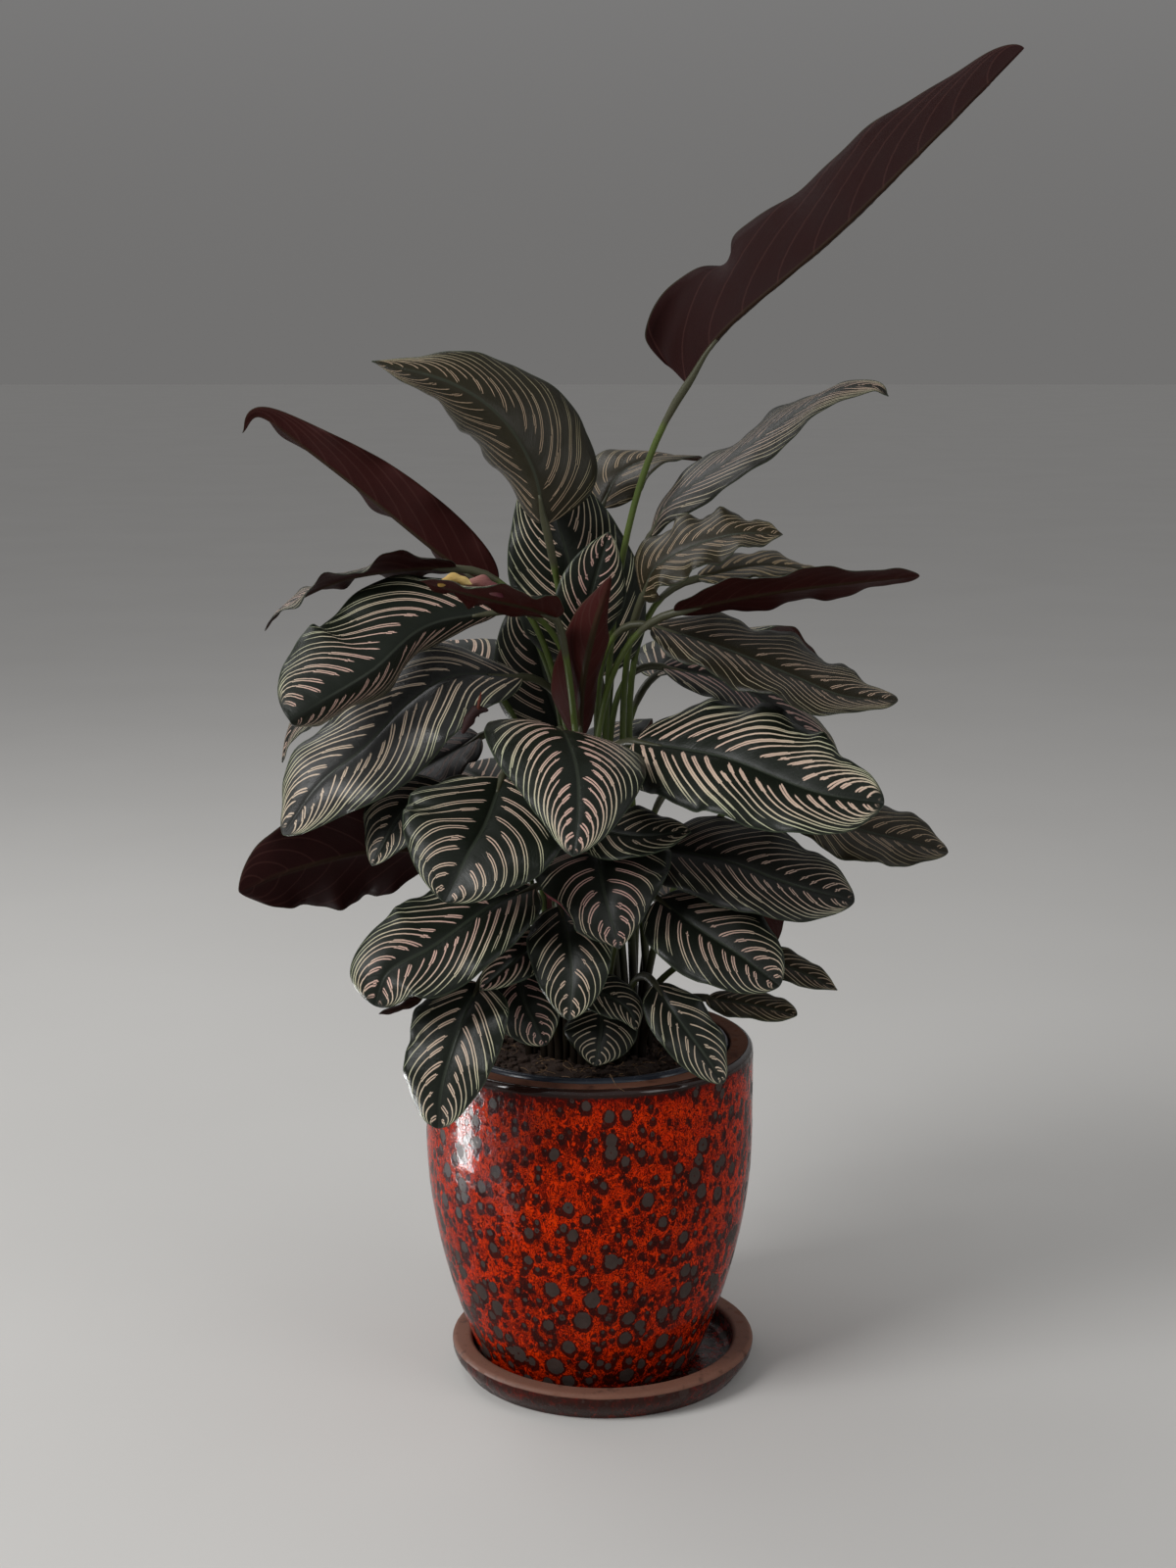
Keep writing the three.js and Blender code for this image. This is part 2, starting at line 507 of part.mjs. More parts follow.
// Low leaves stand outside in the clump and high ones inside. Each stalk takes the nearest free
// spot from which it passes the other leaves clear.
function clumpSpots() {
  const spots = [];
  const rows = Math.ceil(CLUMP.radius / CLUMP.spacing) + 1;
  for (let i = -rows; i <= rows; i++) {
    for (let j = -rows; j <= rows; j++) {
      const x = CLUMP.spacing * (j + (i % 2) / 2);
      const y = CLUMP.spacing * i * Math.sin(Math.PI / 3);
      if (Math.hypot(x, y) < CLUMP.radius) {
        spots.push(new THREE.Vector2(x + POT_X, y + CLUMP.back));
      }
    }
  }
  return spots;
}

function overlaps(body, other) {
  const [a, b] = [body.boundingBox(), other.boundingBox()];
  const near = [0, 1, 2].every((k) => a.min[k] < b.max[k] && b.min[k] < a.max[k]);
  return near && !body.intersect(other).isEmpty();
}

function rootedLeaves(ribs) {
  const blades = ribs.map((rib, i) => solid(bladeShape(LEAVES[i], rib)));
  const bases = ribs.map((rib) => rib.getPoint(0));
  const order = bases.map((base, i) => i).sort((a, b) => bases[a].z - bases[b].z);
  const free = clumpSpots();
  const taken = [];
  const leaves = [];
  order.forEach((i, rank) => {
    const middle = new THREE.Vector2(POT_X, CLUMP.back);
    const wanted = new THREE.Vector2(bases[i].x, bases[i].y).sub(middle);
    const outward = CLUMP.radius * Math.sqrt(1 - rank / order.length);
    wanted.setLength(Math.min(wanted.length(), outward)).add(middle);
    free.sort((a, b) => a.distanceTo(wanted) - b.distanceTo(wanted));
    const others = [...blades.filter((blade, j) => j !== i), ...taken];
    const clear = free.findIndex((spot) => {
      const room = solid(stalkShape(LEAVES[i], ribs[i], spot, STALK.clear));
      return !others.some((other) => overlaps(room, other));
    });
    const foot = free.splice(Math.max(0, clear), 1)[0];
    const stalk = solid(stalkShape(LEAVES[i], ribs[i], foot, 0));
    taken.push(stalk);
    leaves[i] = { foot, body: blades[i].add(stalk) };
  });
  return leaves;
}

const finishes = {
  leaf: { color: 0x1d2a1c, roughness: 0.42, metalness: 0 },
  glaze: { color: 0xa8200c, roughness: 0.12, metalness: 0 },
  plastic: { color: 0x15181c, roughness: 0.3, metalness: 0 },
  soil: { color: 0x2a1c12, roughness: 0.95, metalness: 0 },
};

const plant = new THREE.Group();

function add(name, shape, finish) {
  const mesh = new THREE.Mesh(shape, new THREE.MeshStandardMaterial(finishes[finish]));
  mesh.name = name;
  plant.add(mesh);
}

function ribOf(leaf) {
  return new THREE.CatmullRomCurve3(leaf.rib.map(placed), false, "catmullrom");
}

const leaves = rootedLeaves(LEAVES.map(ribOf));
add("saucer", saucerShape(), "glaze");
add("pot", potShape(), "glaze");
add("nursery_pot", nurseryShape(), "plastic");
add("soil", soilShape(leaves.map((leaf) => leaf.foot)), "soil");
LEAVES.forEach((leaf, i) => add(`leaf_${leaf.name}`, meshed(leaves[i].body), "leaf"));

export default plant;
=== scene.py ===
"""A potted pinstripe calathea in its glazed pot on a matching saucer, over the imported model.

Lengths are in millimetres until a mesh is made, angles are in degrees and +Z is up.
The plant's best side looks along -Y.
"""
import math
import random

import bpy
import numpy as np
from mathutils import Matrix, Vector, noise


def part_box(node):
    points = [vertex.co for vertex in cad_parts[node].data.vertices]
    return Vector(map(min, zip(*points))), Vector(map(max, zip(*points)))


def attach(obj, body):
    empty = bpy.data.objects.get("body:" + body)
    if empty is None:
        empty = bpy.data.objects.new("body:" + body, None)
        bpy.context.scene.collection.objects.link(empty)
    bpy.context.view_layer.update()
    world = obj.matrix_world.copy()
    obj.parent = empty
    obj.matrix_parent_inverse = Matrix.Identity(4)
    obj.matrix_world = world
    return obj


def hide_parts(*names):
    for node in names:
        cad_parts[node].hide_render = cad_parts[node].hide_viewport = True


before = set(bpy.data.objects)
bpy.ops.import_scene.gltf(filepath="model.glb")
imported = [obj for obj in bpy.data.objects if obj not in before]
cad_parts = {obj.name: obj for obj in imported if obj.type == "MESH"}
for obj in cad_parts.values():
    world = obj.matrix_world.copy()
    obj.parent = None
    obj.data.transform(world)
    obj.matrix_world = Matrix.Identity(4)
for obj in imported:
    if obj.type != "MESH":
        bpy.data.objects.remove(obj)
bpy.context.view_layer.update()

MM = 0.001
SEED = 11

# The camera, which is also where the leaves' places are read from
EYE = (-11, -1660, 762)
LOOK_DOWN = 11.0
LENS = 54.09
FILM = 36

# Round pieces
AROUND = 144
SAUCER = {"foot": 104, "floor": 6, "rim": 15, "hollow": 6, "edge": 3.5}
POT = {"foot": 80, "belly_rise": 174, "bulge": 1.9, "wall": 12}
POT_RIM = {"width": 17, "depth": 12, "edge": 5}
POT_FOOT = {"base": 11, "recess": 3, "ring": 14, "drain": 12, "corner": 4}
NURSERY = {"lip_width": 8, "lip_depth": 12, "foot": 70, "wall": 2, "floor": 3}
POT_BAND = {"dim": (17, 5), "bead": (6.5, 4.0), "coat": (6, 2)}     # from and to below the top
SOIL = {"top": 236, "bump": 2.2, "crumb": 1.1, "rings": 60}
CRUMBS = {"count": 1000, "reach": 88, "least": 0.8, "more": 2.6, "rare": 1.6, "sides": 6,
          "levels": 4}
FIBRES = {"count": 170, "reach": 86, "bends": 3, "step": 5}
FLOOR = 30000                 # half the floor's width

# A leaf
BLADE = {"thick": 0.7, "edge": 0.4, "columns": 13, "row": 1.8, "tip": 0.5}
SLOPE = (18, -12)
SHAPE = (0.55, 0.85)
WAVE = (2, 3, 0)
OTHER_SIDE = 0.37             # how far the left margin's ripple runs ahead of the right's
SWEEP = {"share": 0.72, "power": 1.5, "base": 0.35, "middle": 1.45}
VEINS = {"fewest": 4.5, "most": 10, "each": 19}
RELIEF = {"quilt": 0.55, "channel": 0.8, "channel_width": 1.6, "ridge": 1.5, "ridge_width": 1.5}
STALK = {"radius": 2.3, "sheath": 3.1, "knee": 2.9, "knee_length": 30, "vein": 1.0, "sides": 10,
         "steps": 26, "straight": 9, "rise": 0.4, "bend": 0.25, "sunk": 0.12}

# Each leaf as in the part's source: its midrib from base to tip, listed as [x, z, y], where x and
# z are where the point appears from EYE on the upright plane through the origin, and y its true
# depth. half is half the blade's width, face is where the upper side looks at the base and at the
# tip, right and left are the slopes of the two halves by the midrib and by the margin, and wave is
# the margin's ripple: its height, its count and where the first one starts.
# pink, brown, the painted shade and bold tint a leaf: how pink its lines are; how brown it is, a
# tone that paints the amber light through a leaf lit from behind; how much painted shade darkens
# it, or below 0 how much a painted silvery sheen lightens it; and how wide its lines are. A fold
# curls a half
# up: its side, the share of the midrib it is at, how far it runs along that, where it starts across
# the half, and its angle.
LEAVES = [
    {"name": "tall", "half": 60, "face": ((0.1, 0.95, 0.1), (0.1, 0.95, 0.1)),
     "rib": ((58, 722, -35), (84, 759, -45), (157, 821, -65), (226, 888, -85), (284, 947, -95)),
     "right": (35, 55), "left": (80, 110), "shape": (0.15, 0.5), "wave": (3, 2.5, 0.1),
     "painted_shade_and_sheen": 0.85,
     "folds": ((1, 0.22, 0.035, 0.45, 60), (1, 0.05, 0.08, 0.55, -110))},
    {"name": "reach_left", "half": 46, "face": ((0.3, 0.5, 0.8), (0, 0.3, 0.9)),
     "rib": ((-77, 578, 30), (-115, 604, 30), (-162, 642, 32), (-207, 677, 32), (-239, 700, 28),
             (-252, 689, 24)),
     "right": (30, 10), "left": (45, 65, 0.68), "shape": (0.45, 0.9), "wave": (4, 3, 0.3),
     "painted_shade_and_sheen": 0.45},
    {"name": "low_reach_left", "half": 32, "face": ((0.1, 0.5, 0.85), (-0.3, -0.1, 0.9)),
     "rib": ((-104, 594, -20), (-134, 594, -25), (-184, 586, -30), (-226, 566, -35),
             (-240, 550, -38)),
     "wave": (5, 3, 0),
     "painted_shade_and_sheen": 0.6},
    {"name": "left_broad", "half": 59, "face": ((-0.1, -0.8, 0.6), (-0.2, -0.8, 0.5)),
     "rib": ((-73, 564, -35), (-126, 553, -60), (-164, 522, -90), (-198, 501, -108),
             (-224, 485, -118)),
     "right": (5, -15), "left": (-70, -125, 0.7), "shape": (0.6, 0.45), "wave": (3, 3, 0.2),
     "pink": 0.6, "bold": 0.7},
    {"name": "left_sliver", "half": 28, "face": ((0, 0.1, 1), (-0.6, -0.3, 0.5)),
     "rib": ((-122, 523, 10), (-159, 508, 5), (-200, 493, -5), (-221, 479, -8), (-230, 455, -10)),
     "wave": (3, 3, 0.1),
     "painted_shade_and_sheen": 0.5},
    {"name": "left_drape", "half": 46, "face": ((-0.3, -0.5, 0.8), (-0.4, -0.7, 0.4)),
     "rib": ((-58, 517, -5), (-105, 518, -28), (-138, 499, -48), (-171, 466, -65),
             (-204, 439, -75), (-231, 402, -78)),
     "left": (5, -30), "shape": (0.6, 0.7), "wave": (4, 3.5, 0.4),
     "pink": 0.2, "painted_shade_and_sheen": -0.6, "bold": 0.8},
    {"name": "dusk_low_left", "half": 46, "face": ((-0.2, 0.75, 0.6), (-0.2, 0.8, 0.4)),
     "rib": ((-121, 390, -20), (-167, 390, -35), (-224, 376, -50), (-264, 360, -60)),
     "right": (0, -10), "left": (15, 30), "shape": (0.45, 0.7), "wave": (5, 3, 0.2),
     "painted_shade_and_sheen": 0.8},
    {"name": "dusk_left", "half": 40, "face": ((-0.3, -0.4, 0.8), (-0.4, -0.5, 0.7)),
     "rib": ((-88, 474, 18), (-130, 450, 8), (-173, 429, -4), (-201, 415, -10)),
     "shape": (0.5, 0.6), "wave": (6, 4, 0.2),
     "painted_shade_and_sheen": 1.0},
    {"name": "peep_left", "half": 30, "face": ((-0.2, -0.5, 0.8), (-0.5, -0.7, 0.3)),
     "rib": ((-115, 439, -45), (-145, 418, -60), (-167, 379, -75)),
     "wave": (2, 2, 0.2),
     "pink": 0.2, "painted_shade_and_sheen": 0.2, "bold": 0.7},
    {"name": "front_left", "half": 56, "face": ((0, -0.6, 0.8), (0, -0.8, 0.5)),
     "rib": ((-73, 443, -85), (-85, 410, -120), (-98, 387, -142), (-115, 352, -160)),
     "shape": (0.5, 0.7), "wave": (3, 3, 0.4),
     "pink": 0.35, "bold": 0.65},
    {"name": "front_centre", "half": 56, "face": ((0.3, -0.1, 1), (0, -0.95, 0.25)),
     "rib": ((-31, 479, -48), (-27, 475, -100), (-19, 450, -150), (-18, 418, -178),
             (-22, 386, -196)),
     "right": (10, -25), "left": (10, -25), "shape": (0.36, 0.75), "wave": (2, 2.5, 0.2),
     "pink": 0.6, "bold": 0.9},
    {"name": "front_right", "half": 52, "face": ((0.1, -0.7, 0.7), (0.2, -0.7, 0.6)),
     "rib": ((23, 470, -50), (61, 464, -80), (95, 456, -104), (151, 434, -132), (202, 425, -142)),
     "shape": (0.42, 0.6), "wave": (4, 4, 0.1),
     "pink": 0.4, "bold": 1.05},
    {"name": "right_low", "half": 36, "face": ((0.2, -0.5, 0.8), (0.3, -0.5, 0.8)),
     "rib": ((130, 429, -40), (178, 408, -50), (215, 398, -55), (249, 389, -60)),
     "shape": (0.5, 0.65), "wave": (3, 3, 0.5),
     "brown": 0.7, "painted_shade_and_sheen": 0.3, "bold": 0.6},
    {"name": "under_right", "half": 26, "face": ((0, -0.6, 0.8), (0, -0.6, 0.8)),
     "rib": ((-18, 409, -70), (24, 401, -95), (63, 404, -112)),
     "wave": (2, 2, 0),
     "pink": 0.1, "bold": 0.7},
    {"name": "right_shelf", "half": 42, "face": ((0.1, -0.6, 0.8), (0.2, -0.6, 0.7)),
     "rib": ((31, 393, -60), (88, 383, -90), (131, 367, -105), (182, 352, -118)),
     "shape": (0.5, 0.6), "wave": (3, 3, 0.3),
     "painted_shade_and_sheen": 0.45, "bold": 0.6},
    {"name": "right_skirt", "half": 37, "face": ((0.1, -0.7, 0.7), (0.2, -0.8, 0.5)),
     "rib": ((40, 354, -85), (71, 331, -112), (100, 312, -128), (129, 289, -140)),
     "shape": (0.45, 0.6), "wave": (2, 3, 0.2),
     "pink": 0.5, "painted_shade_and_sheen": 0.15, "bold": 0.65},
    {"name": "right_hidden", "half": 15, "face": ((0.2, -0.6, 0.8), (0.3, -0.6, 0.7)),
     "rib": ((107, 314, -55), (143, 300, -68), (171, 286, -78)),
     "wave": (1.5, 2, 0.3),
     "brown": 0.5, "painted_shade_and_sheen": 0.3, "bold": 0.6},
    {"name": "right_small", "half": 17, "face": ((0.2, -0.5, 0.8), (0.3, -0.5, 0.8)),
     "rib": ((76, 280, -50), (111, 274, -68), (142, 267, -80)),
     "shape": (0.5, 0.6), "wave": (1.5, 2, 0.1),
     "brown": 0.6, "painted_shade_and_sheen": 0.2, "bold": 0.6},
    {"name": "rim_right", "half": 22, "face": ((0.1, -0.7, 0.7), (0.3, -0.8, 0.4)),
     "rib": ((38, 290, -88), (52, 268, -104), (70, 243, -112), (89, 215, -118)),
     "shape": (0.5, 0.65), "wave": (2, 2.5, 0.1),
     "pink": 0.2, "painted_shade_and_sheen": 0.1, "bold": 0.65},
    {"name": "soil_front", "half": 26, "face": ((0, -0.7, 0.7), (0, -0.9, 0.4)),
     "rib": ((-1, 271, -70), (-2, 252, -82), (-6, 228, -90)),
     "wave": (1.5, 2, 0.2),
     "pink": 0.1, "painted_shade_and_sheen": 0.1, "bold": 0.65},
    {"name": "soil_curl", "half": 18, "face": ((0, -0.6, 0.8), (0.5, -0.6, 0.4)),
     "rib": ((-18, 288, -82), (2, 282, -94), (18, 271, -100), (25, 255, -104)),
     "wave": (1, 2, 0.4),
     "pink": 0.1, "painted_shade_and_sheen": 0.1, "bold": 0.65},
    {"name": "front_drop", "half": 29, "face": ((0, -0.7, 0.7), (0, -0.95, 0.3)),
     "rib": ((-31, 349, -80), (-25, 323, -108), (-23, 294, -124), (-25, 263, -132)),
     "shape": (0.5, 0.7), "wave": (2, 2.5, 0.3),
     "pink": 0.3, "bold": 0.65},
    {"name": "front_leaflet", "half": 27, "face": ((0, -0.7, 0.7), (0.1, -0.9, 0.4)),
     "rib": ((-62, 307, -74), (-58, 279, -97), (-50, 260, -106), (-42, 244, -110)),
     "shape": (0.5, 0.7), "bend": 0.1, "wave": (1.5, 2, 0.1),
     "pink": 0.8, "bold": 0.7},
    {"name": "front_pink", "half": 50, "face": ((0, -0.7, 0.7), (0, -0.9, 0.4)),
     "rib": ((-5, 393, -75), (-2, 374, -100), (3, 350, -120), (12, 317, -132)),
     "shape": (0.3, 0.85), "wave": (3, 3, 0.3),
     "pink": 0.9, "painted_shade_and_sheen": 0.2, "bold": 0.65,
     "folds": ((1, 0.6, 0.35, 0.72, 120),)},
    {"name": "left_skirt", "half": 39, "face": ((-0.2, -0.7, 0.7), (-0.3, -0.8, 0.4)),
     "rib": ((-50, 363, -78), (-82, 349, -110), (-124, 319, -136), (-156, 300, -150),
             (-167, 274, -154)),
     "shape": (0.55, 0.5), "wave": (3, 3, 0.4),
     "pink": 0.6, "bold": 0.75},
    {"name": "rim_left", "half": 33, "face": ((-0.2, -0.8, 0.6), (-0.25, -0.95, 0.2)),
     "rib": ((-90, 291, -110), (-101, 268, -132), (-111, 240, -144), (-119, 210, -150),
             (-122, 180, -153)),
     "shape": (0.4, 0.6), "wave": (3, 3, 0.2),
     "pink": 0.3, "bold": 0.75},
    {"name": "low_tip_left", "half": 14, "face": ((-0.1, 0.5, 0.8), (-0.1, 0.5, 0.8)),
     "rib": ((-122, 288, -35), (-144, 274, -45), (-164, 268, -50)),
     "wave": (1, 2, 0),
     "painted_shade_and_sheen": 0.9},
    {"name": "front_peep", "half": 19, "face": ((-0.1, -0.7, 0.7), (-0.2, -0.8, 0.4)),
     "rib": ((-39, 331, -84), (-65, 308, -108), (-90, 286, -124)),
     "wave": (1, 2, 0.4),
     "pink": 0.7},
    {"name": "crown_left", "half": 54, "face": ((0.3, -0.8, 0.5), (0.1, -0.7, 0.7)),
     "rib": ((-41, 625, -25), (-50, 665, -35), (-72, 700, -45), (-108, 724, -50), (-161, 738, -50)),
     "right": (5, -10), "left": (-70, -115), "shape": (0.38, 1.1), "wave": (2, 3, 0.2),
     "brown": 0.6, "painted_shade_and_sheen": 0.1, "bold": 0.5},
    {"name": "crown_back", "half": 47, "face": ((-0.1, -0.98, 0.2), (-0.1, -0.9, 0.3)),
     "rib": ((-3, 517, 25), (-10, 553, 18), (-25, 601, 12), (-38, 649, 15), (-42, 675, 25)),
     "wave": (2.5, 3, 0.1),
     "pink": 0.3, "bold": 0.7},
    {"name": "crown_small", "half": 25, "face": ((0.2, -0.97, 0.1), (0.2, -0.97, 0.1)),
     "rib": ((-17, 542, -15), (-8, 580, -22), (4, 620, -22)),
     "wave": (1.5, 2, 0.2),
     "pink": 0.9, "bold": 0.75},
    {"name": "spear", "half": 25, "face": ((0, 1, 0), (0, 1, 0)),
     "rib": ((-17, 470, -18), (-15, 510, -40), (-8, 546, -58), (5, 589, -66)),
     "right": (10, 50), "left": (20, 100), "shape": (0.6, 0.9), "wave": (2, 2, 0.2)},
    {"name": "curl_left", "half": 34, "face": ((0, 0.3, 0.95), (0, 0.25, 0.96)),
     "rib": ((-35, 559, -62), (-53, 566, -75), (-80, 572, -92), (-111, 580, -103),
             (-131, 586, -107)),
     "bend": 0.05, "wave": (3, 3, 0.2),
     "pink": 0.3},
    {"name": "crown_right", "half": 30, "face": ((-0.55, -0.25, 0.8), (-0.4, -0.1, 0.9)),
     "rib": ((33, 617, 10), (47, 641, 4), (88, 670, -6), (126, 697, -16), (159, 717, -24),
             (187, 721, -30), (198, 714, -33)),
     "right": (5, -40), "left": (10, 0), "shape": (0.6, 0.9), "wave": (3, 3, 0.1),
     "brown": 0.2, "painted_shade_and_sheen": 0.45, "bold": 0.6},
    {"name": "crown_rear", "half": 36, "face": ((-0.4, -0.6, 0.6), (0, 0.2, 0.9)),
     "rib": ((-1, 637, 50), (10, 659, 55), (34, 671, 62), (70, 670, 75)),
     "wave": (2, 2, 0.3),
     "brown": 0.8, "painted_shade_and_sheen": 0.2, "bold": 0.6},
    {"name": "right_fan", "half": 34, "face": ((-0.2, -0.6, 0.8), (0, -0.4, 0.9)),
     "rib": ((28, 575, -32), (36, 594, -42), (58, 608, -52), (92, 618, -58), (126, 618, -60)),
     "shape": (0.5, 0.75), "wave": (4, 4, 0.2),
     "brown": 0.7, "painted_shade_and_sheen": 0.25, "bold": 0.5},
    {"name": "right_blade", "half": 32, "face": ((0, 0.45, 0.9), (0, 0.4, 0.9)),
     "rib": ((51, 563, -62), (86, 571, -75), (127, 578, -86), (176, 584, -93), (223, 589, -96)),
     "shape": (0.5, 0.6), "wave": (2.5, 3, 0.4),
     "painted_shade_and_sheen": 0.4},
    {"name": "right_behind", "half": 28, "face": ((0, -0.3, 0.95), (0, -0.2, 0.95)),
     "rib": ((66, 587, 25), (113, 596, 28), (159, 589, 30)),
     "wave": (2, 3, 0.1),
     "brown": 0.9},
    {"name": "right_wing", "half": 42, "face": ((0.1, -0.4, 0.9), (0.2, -0.4, 0.9)),
     "rib": ((35, 553, -35), (69, 543, -48), (102, 531, -60), (136, 517, -72), (171, 503, -84),
             (210, 500, -92)),
     "shape": (0.5, 0.65), "wave": (4, 3.5, 0.2),
     "brown": 0.5, "painted_shade_and_sheen": 0.4, "bold": 0.6},
    {"name": "right_dusk", "half": 34, "face": ((0.2, -0.4, 0.9), (0.3, -0.4, 0.8)),
     "rib": ((42, 524, 32), (87, 514, 32), (129, 489, 24), (172, 455, 14)),
     "wave": (2, 3, 0.3),
     "pink": 0.9, "painted_shade_and_sheen": 0.6},
    {"name": "stem_shade", "half": 38, "face": ((0, -1, 0.2), (0, -1, 0.2)),
     "rib": ((-29, 474, 45), (-40, 510, 50), (-49, 553, 52), (-49, 580, 60)),
     "wave": (2, 2, 0.3),
     "painted_shade_and_sheen": 0.3, "bold": 0.7},
    {"name": "back_high", "half": 34, "face": ((0, 0.5, 0.9), (0, 0.8, 0.6)),
     "rib": ((-19, 510, 70), (-25, 553, 105), (-28, 587, 150), (-28, 587, 195)),
     "wave": (3, 3, 0.3)},
    {"name": "back_high_left", "half": 44, "face": ((-0.2, 0.4, 0.9), (-0.5, 0.6, 0.6)),
     "rib": ((-75, 510, 75), (-105, 539, 120), (-147, 535, 165), (-171, 510, 195)),
     "shape": (0.5, 0.6), "wave": (4, 3, 0.2)},
    {"name": "back_high_right", "half": 44, "face": ((0.2, 0.4, 0.9), (0.5, 0.6, 0.6)),
     "rib": ((36, 517, 55), (72, 546, 110), (121, 539, 160), (149, 510, 190)),
     "shape": (0.5, 0.6), "wave": (4, 3, 0.5)},
    {"name": "back_mid", "half": 50, "face": ((0, 0.4, 0.9), (0, 0.9, 0.4)),
     "rib": ((-15, 457, 80), (-11, 479, 140), (-7, 461, 200), (-7, 425, 240)),
     "shape": (0.5, 0.6), "wave": (4, 3, 0.1)},
    {"name": "back_mid_left", "half": 46, "face": ((-0.2, 0.4, 0.9), (-0.5, 0.7, 0.5)),
     "rib": ((-78, 436, 60), (-106, 450, 120), (-138, 429, 180), (-149, 389, 215)),
     "shape": (0.5, 0.65), "wave": (3, 3, 0.3)},
    {"name": "back_mid_right", "half": 48, "face": ((0.2, 0.4, 0.9), (0.5, 0.7, 0.5)),
     "rib": ((52, 439, 60), (91, 454, 115), (130, 439, 170), (151, 403, 205)),
     "shape": (0.5, 0.65), "wave": (3, 3, 0.6)},
    {"name": "back_low_left", "half": 38, "face": ((-0.2, 0.4, 0.9), (-0.5, 0.7, 0.5)),
     "rib": ((-68, 342, 55), (-93, 349, 105), (-118, 334, 150), (-129, 301, 175)),
     "shape": (0.5, 0.65), "wave": (3, 3, 0.3)},
    {"name": "back_low", "half": 42, "face": ((0, 0.4, 0.9), (0, 0.9, 0.4)),
     "rib": ((-11, 352, 75), (-11, 363, 130), (-11, 345, 180), (-11, 308, 205)),
     "shape": (0.5, 0.65), "wave": (3, 3, 0.3)},
    {"name": "back_low_right", "half": 38, "face": ((0.2, 0.4, 0.9), (0.5, 0.7, 0.5)),
     "rib": ((46, 356, 55), (78, 367, 100), (106, 352, 145), (121, 319, 165)),
     "shape": (0.5, 0.65), "wave": (3, 3, 0.1)},
]

# Dry or curled scraps at the leaves: the middle line [x, z, y] like a midrib's, the width, how far
# it is rolled, in degrees, and the colour at each end.
SCRAPS = [
    {"name": "curl_dry", "line": ((-117, 582, -110), (-106, 587, -108), (-93, 583, -106)),
     "width": 9, "roll": 150, "colours": ((0.50, 0.30, 0.07), (0.66, 0.50, 0.20))},
    {"name": "curl_blush", "line": ((-97, 583, -106), (-86, 584, -105), (-71, 574, -101)),
     "width": 15, "roll": 190, "colours": ((0.34, 0.16, 0.13), (0.13, 0.020, 0.040))},
    {"name": "ear_spike", "line": ((-89, 488, -96), (-89, 497, -98), (-87, 506, -96)),
     "width": 5, "roll": 260, "colours": ((0.035, 0.008, 0.006), (0.15, 0.035, 0.016))},
    {"name": "ear_curl", "line": ((-82, 493, -96), (-92, 491, -98), (-101, 476, -98)),
     "width": 15, "roll": 230, "colours": ((0.016, 0.006, 0.006), (0.030, 0.008, 0.008))},
]

# Where the faces lie on the baked picture of a leaf or a round piece, as [u, v, u, v]
TOP_PATCH = (0.010, 0.010, 0.455, 0.990)
UNDER_PATCH = (0.475, 0.010, 0.920, 0.990)
STALK_PATCH = (0.940, 0.040, 0.990, 0.960)
FOOT_PATCH = (0.940, 0.005, 0.965, 0.030)
END_PATCH = (0.940, 0.970, 0.965, 0.995)
WHOLE_PATCH = (0.005, 0.005, 0.995, 0.995)
MARGIN = 0.006


# Places read from the frame
def node_box(name):
    low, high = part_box(name)
    return low / MM, high / MM


saucer_low, saucer_high = node_box("saucer")
SAUCER_RADIUS = (saucer_high.x - saucer_low.x) / 2
SAUCER_TOP = saucer_high.z
pot_low, pot_high = node_box("pot")
POT_X = (pot_low.x + pot_high.x) / 2
POT_RADIUS = (pot_high.x - pot_low.x) / 2
POT_BASE = pot_low.z
POT_TOP = pot_high.z
nursery_low, nursery_high = node_box("nursery_pot")
LIP_RADIUS = (nursery_high.x - nursery_low.x) / 2


# Shaders
class Wire:
    """One value in a shader. Arithmetic on it adds Math nodes."""

    def __init__(self, paint, socket):
        self.paint = paint
        self.socket = socket

    def do(self, operation, *others):
        values = dict(enumerate((self, *others)))
        return self.paint.node("ShaderNodeMath", {"operation": operation}, values)

    def after(self, operation, other):
        return self.paint.node("ShaderNodeMath", {"operation": operation}, {0: other, 1: self})

    def __add__(self, other):
        return self.do("ADD", other)

    def __sub__(self, other):
        return self.do("SUBTRACT", other)

    def __mul__(self, other):
        return self.do("MULTIPLY", other)

    def __truediv__(self, other):
        return self.do("DIVIDE", other)

    def __pow__(self, other):
        return self.do("POWER", other)

    def __rsub__(self, other):
        return self.after("SUBTRACT", other)

    def __rtruediv__(self, other):
        return self.after("DIVIDE", other)

    def __abs__(self):
        return self.do("ABSOLUTE")

    __radd__ = __add__
    __rmul__ = __mul__


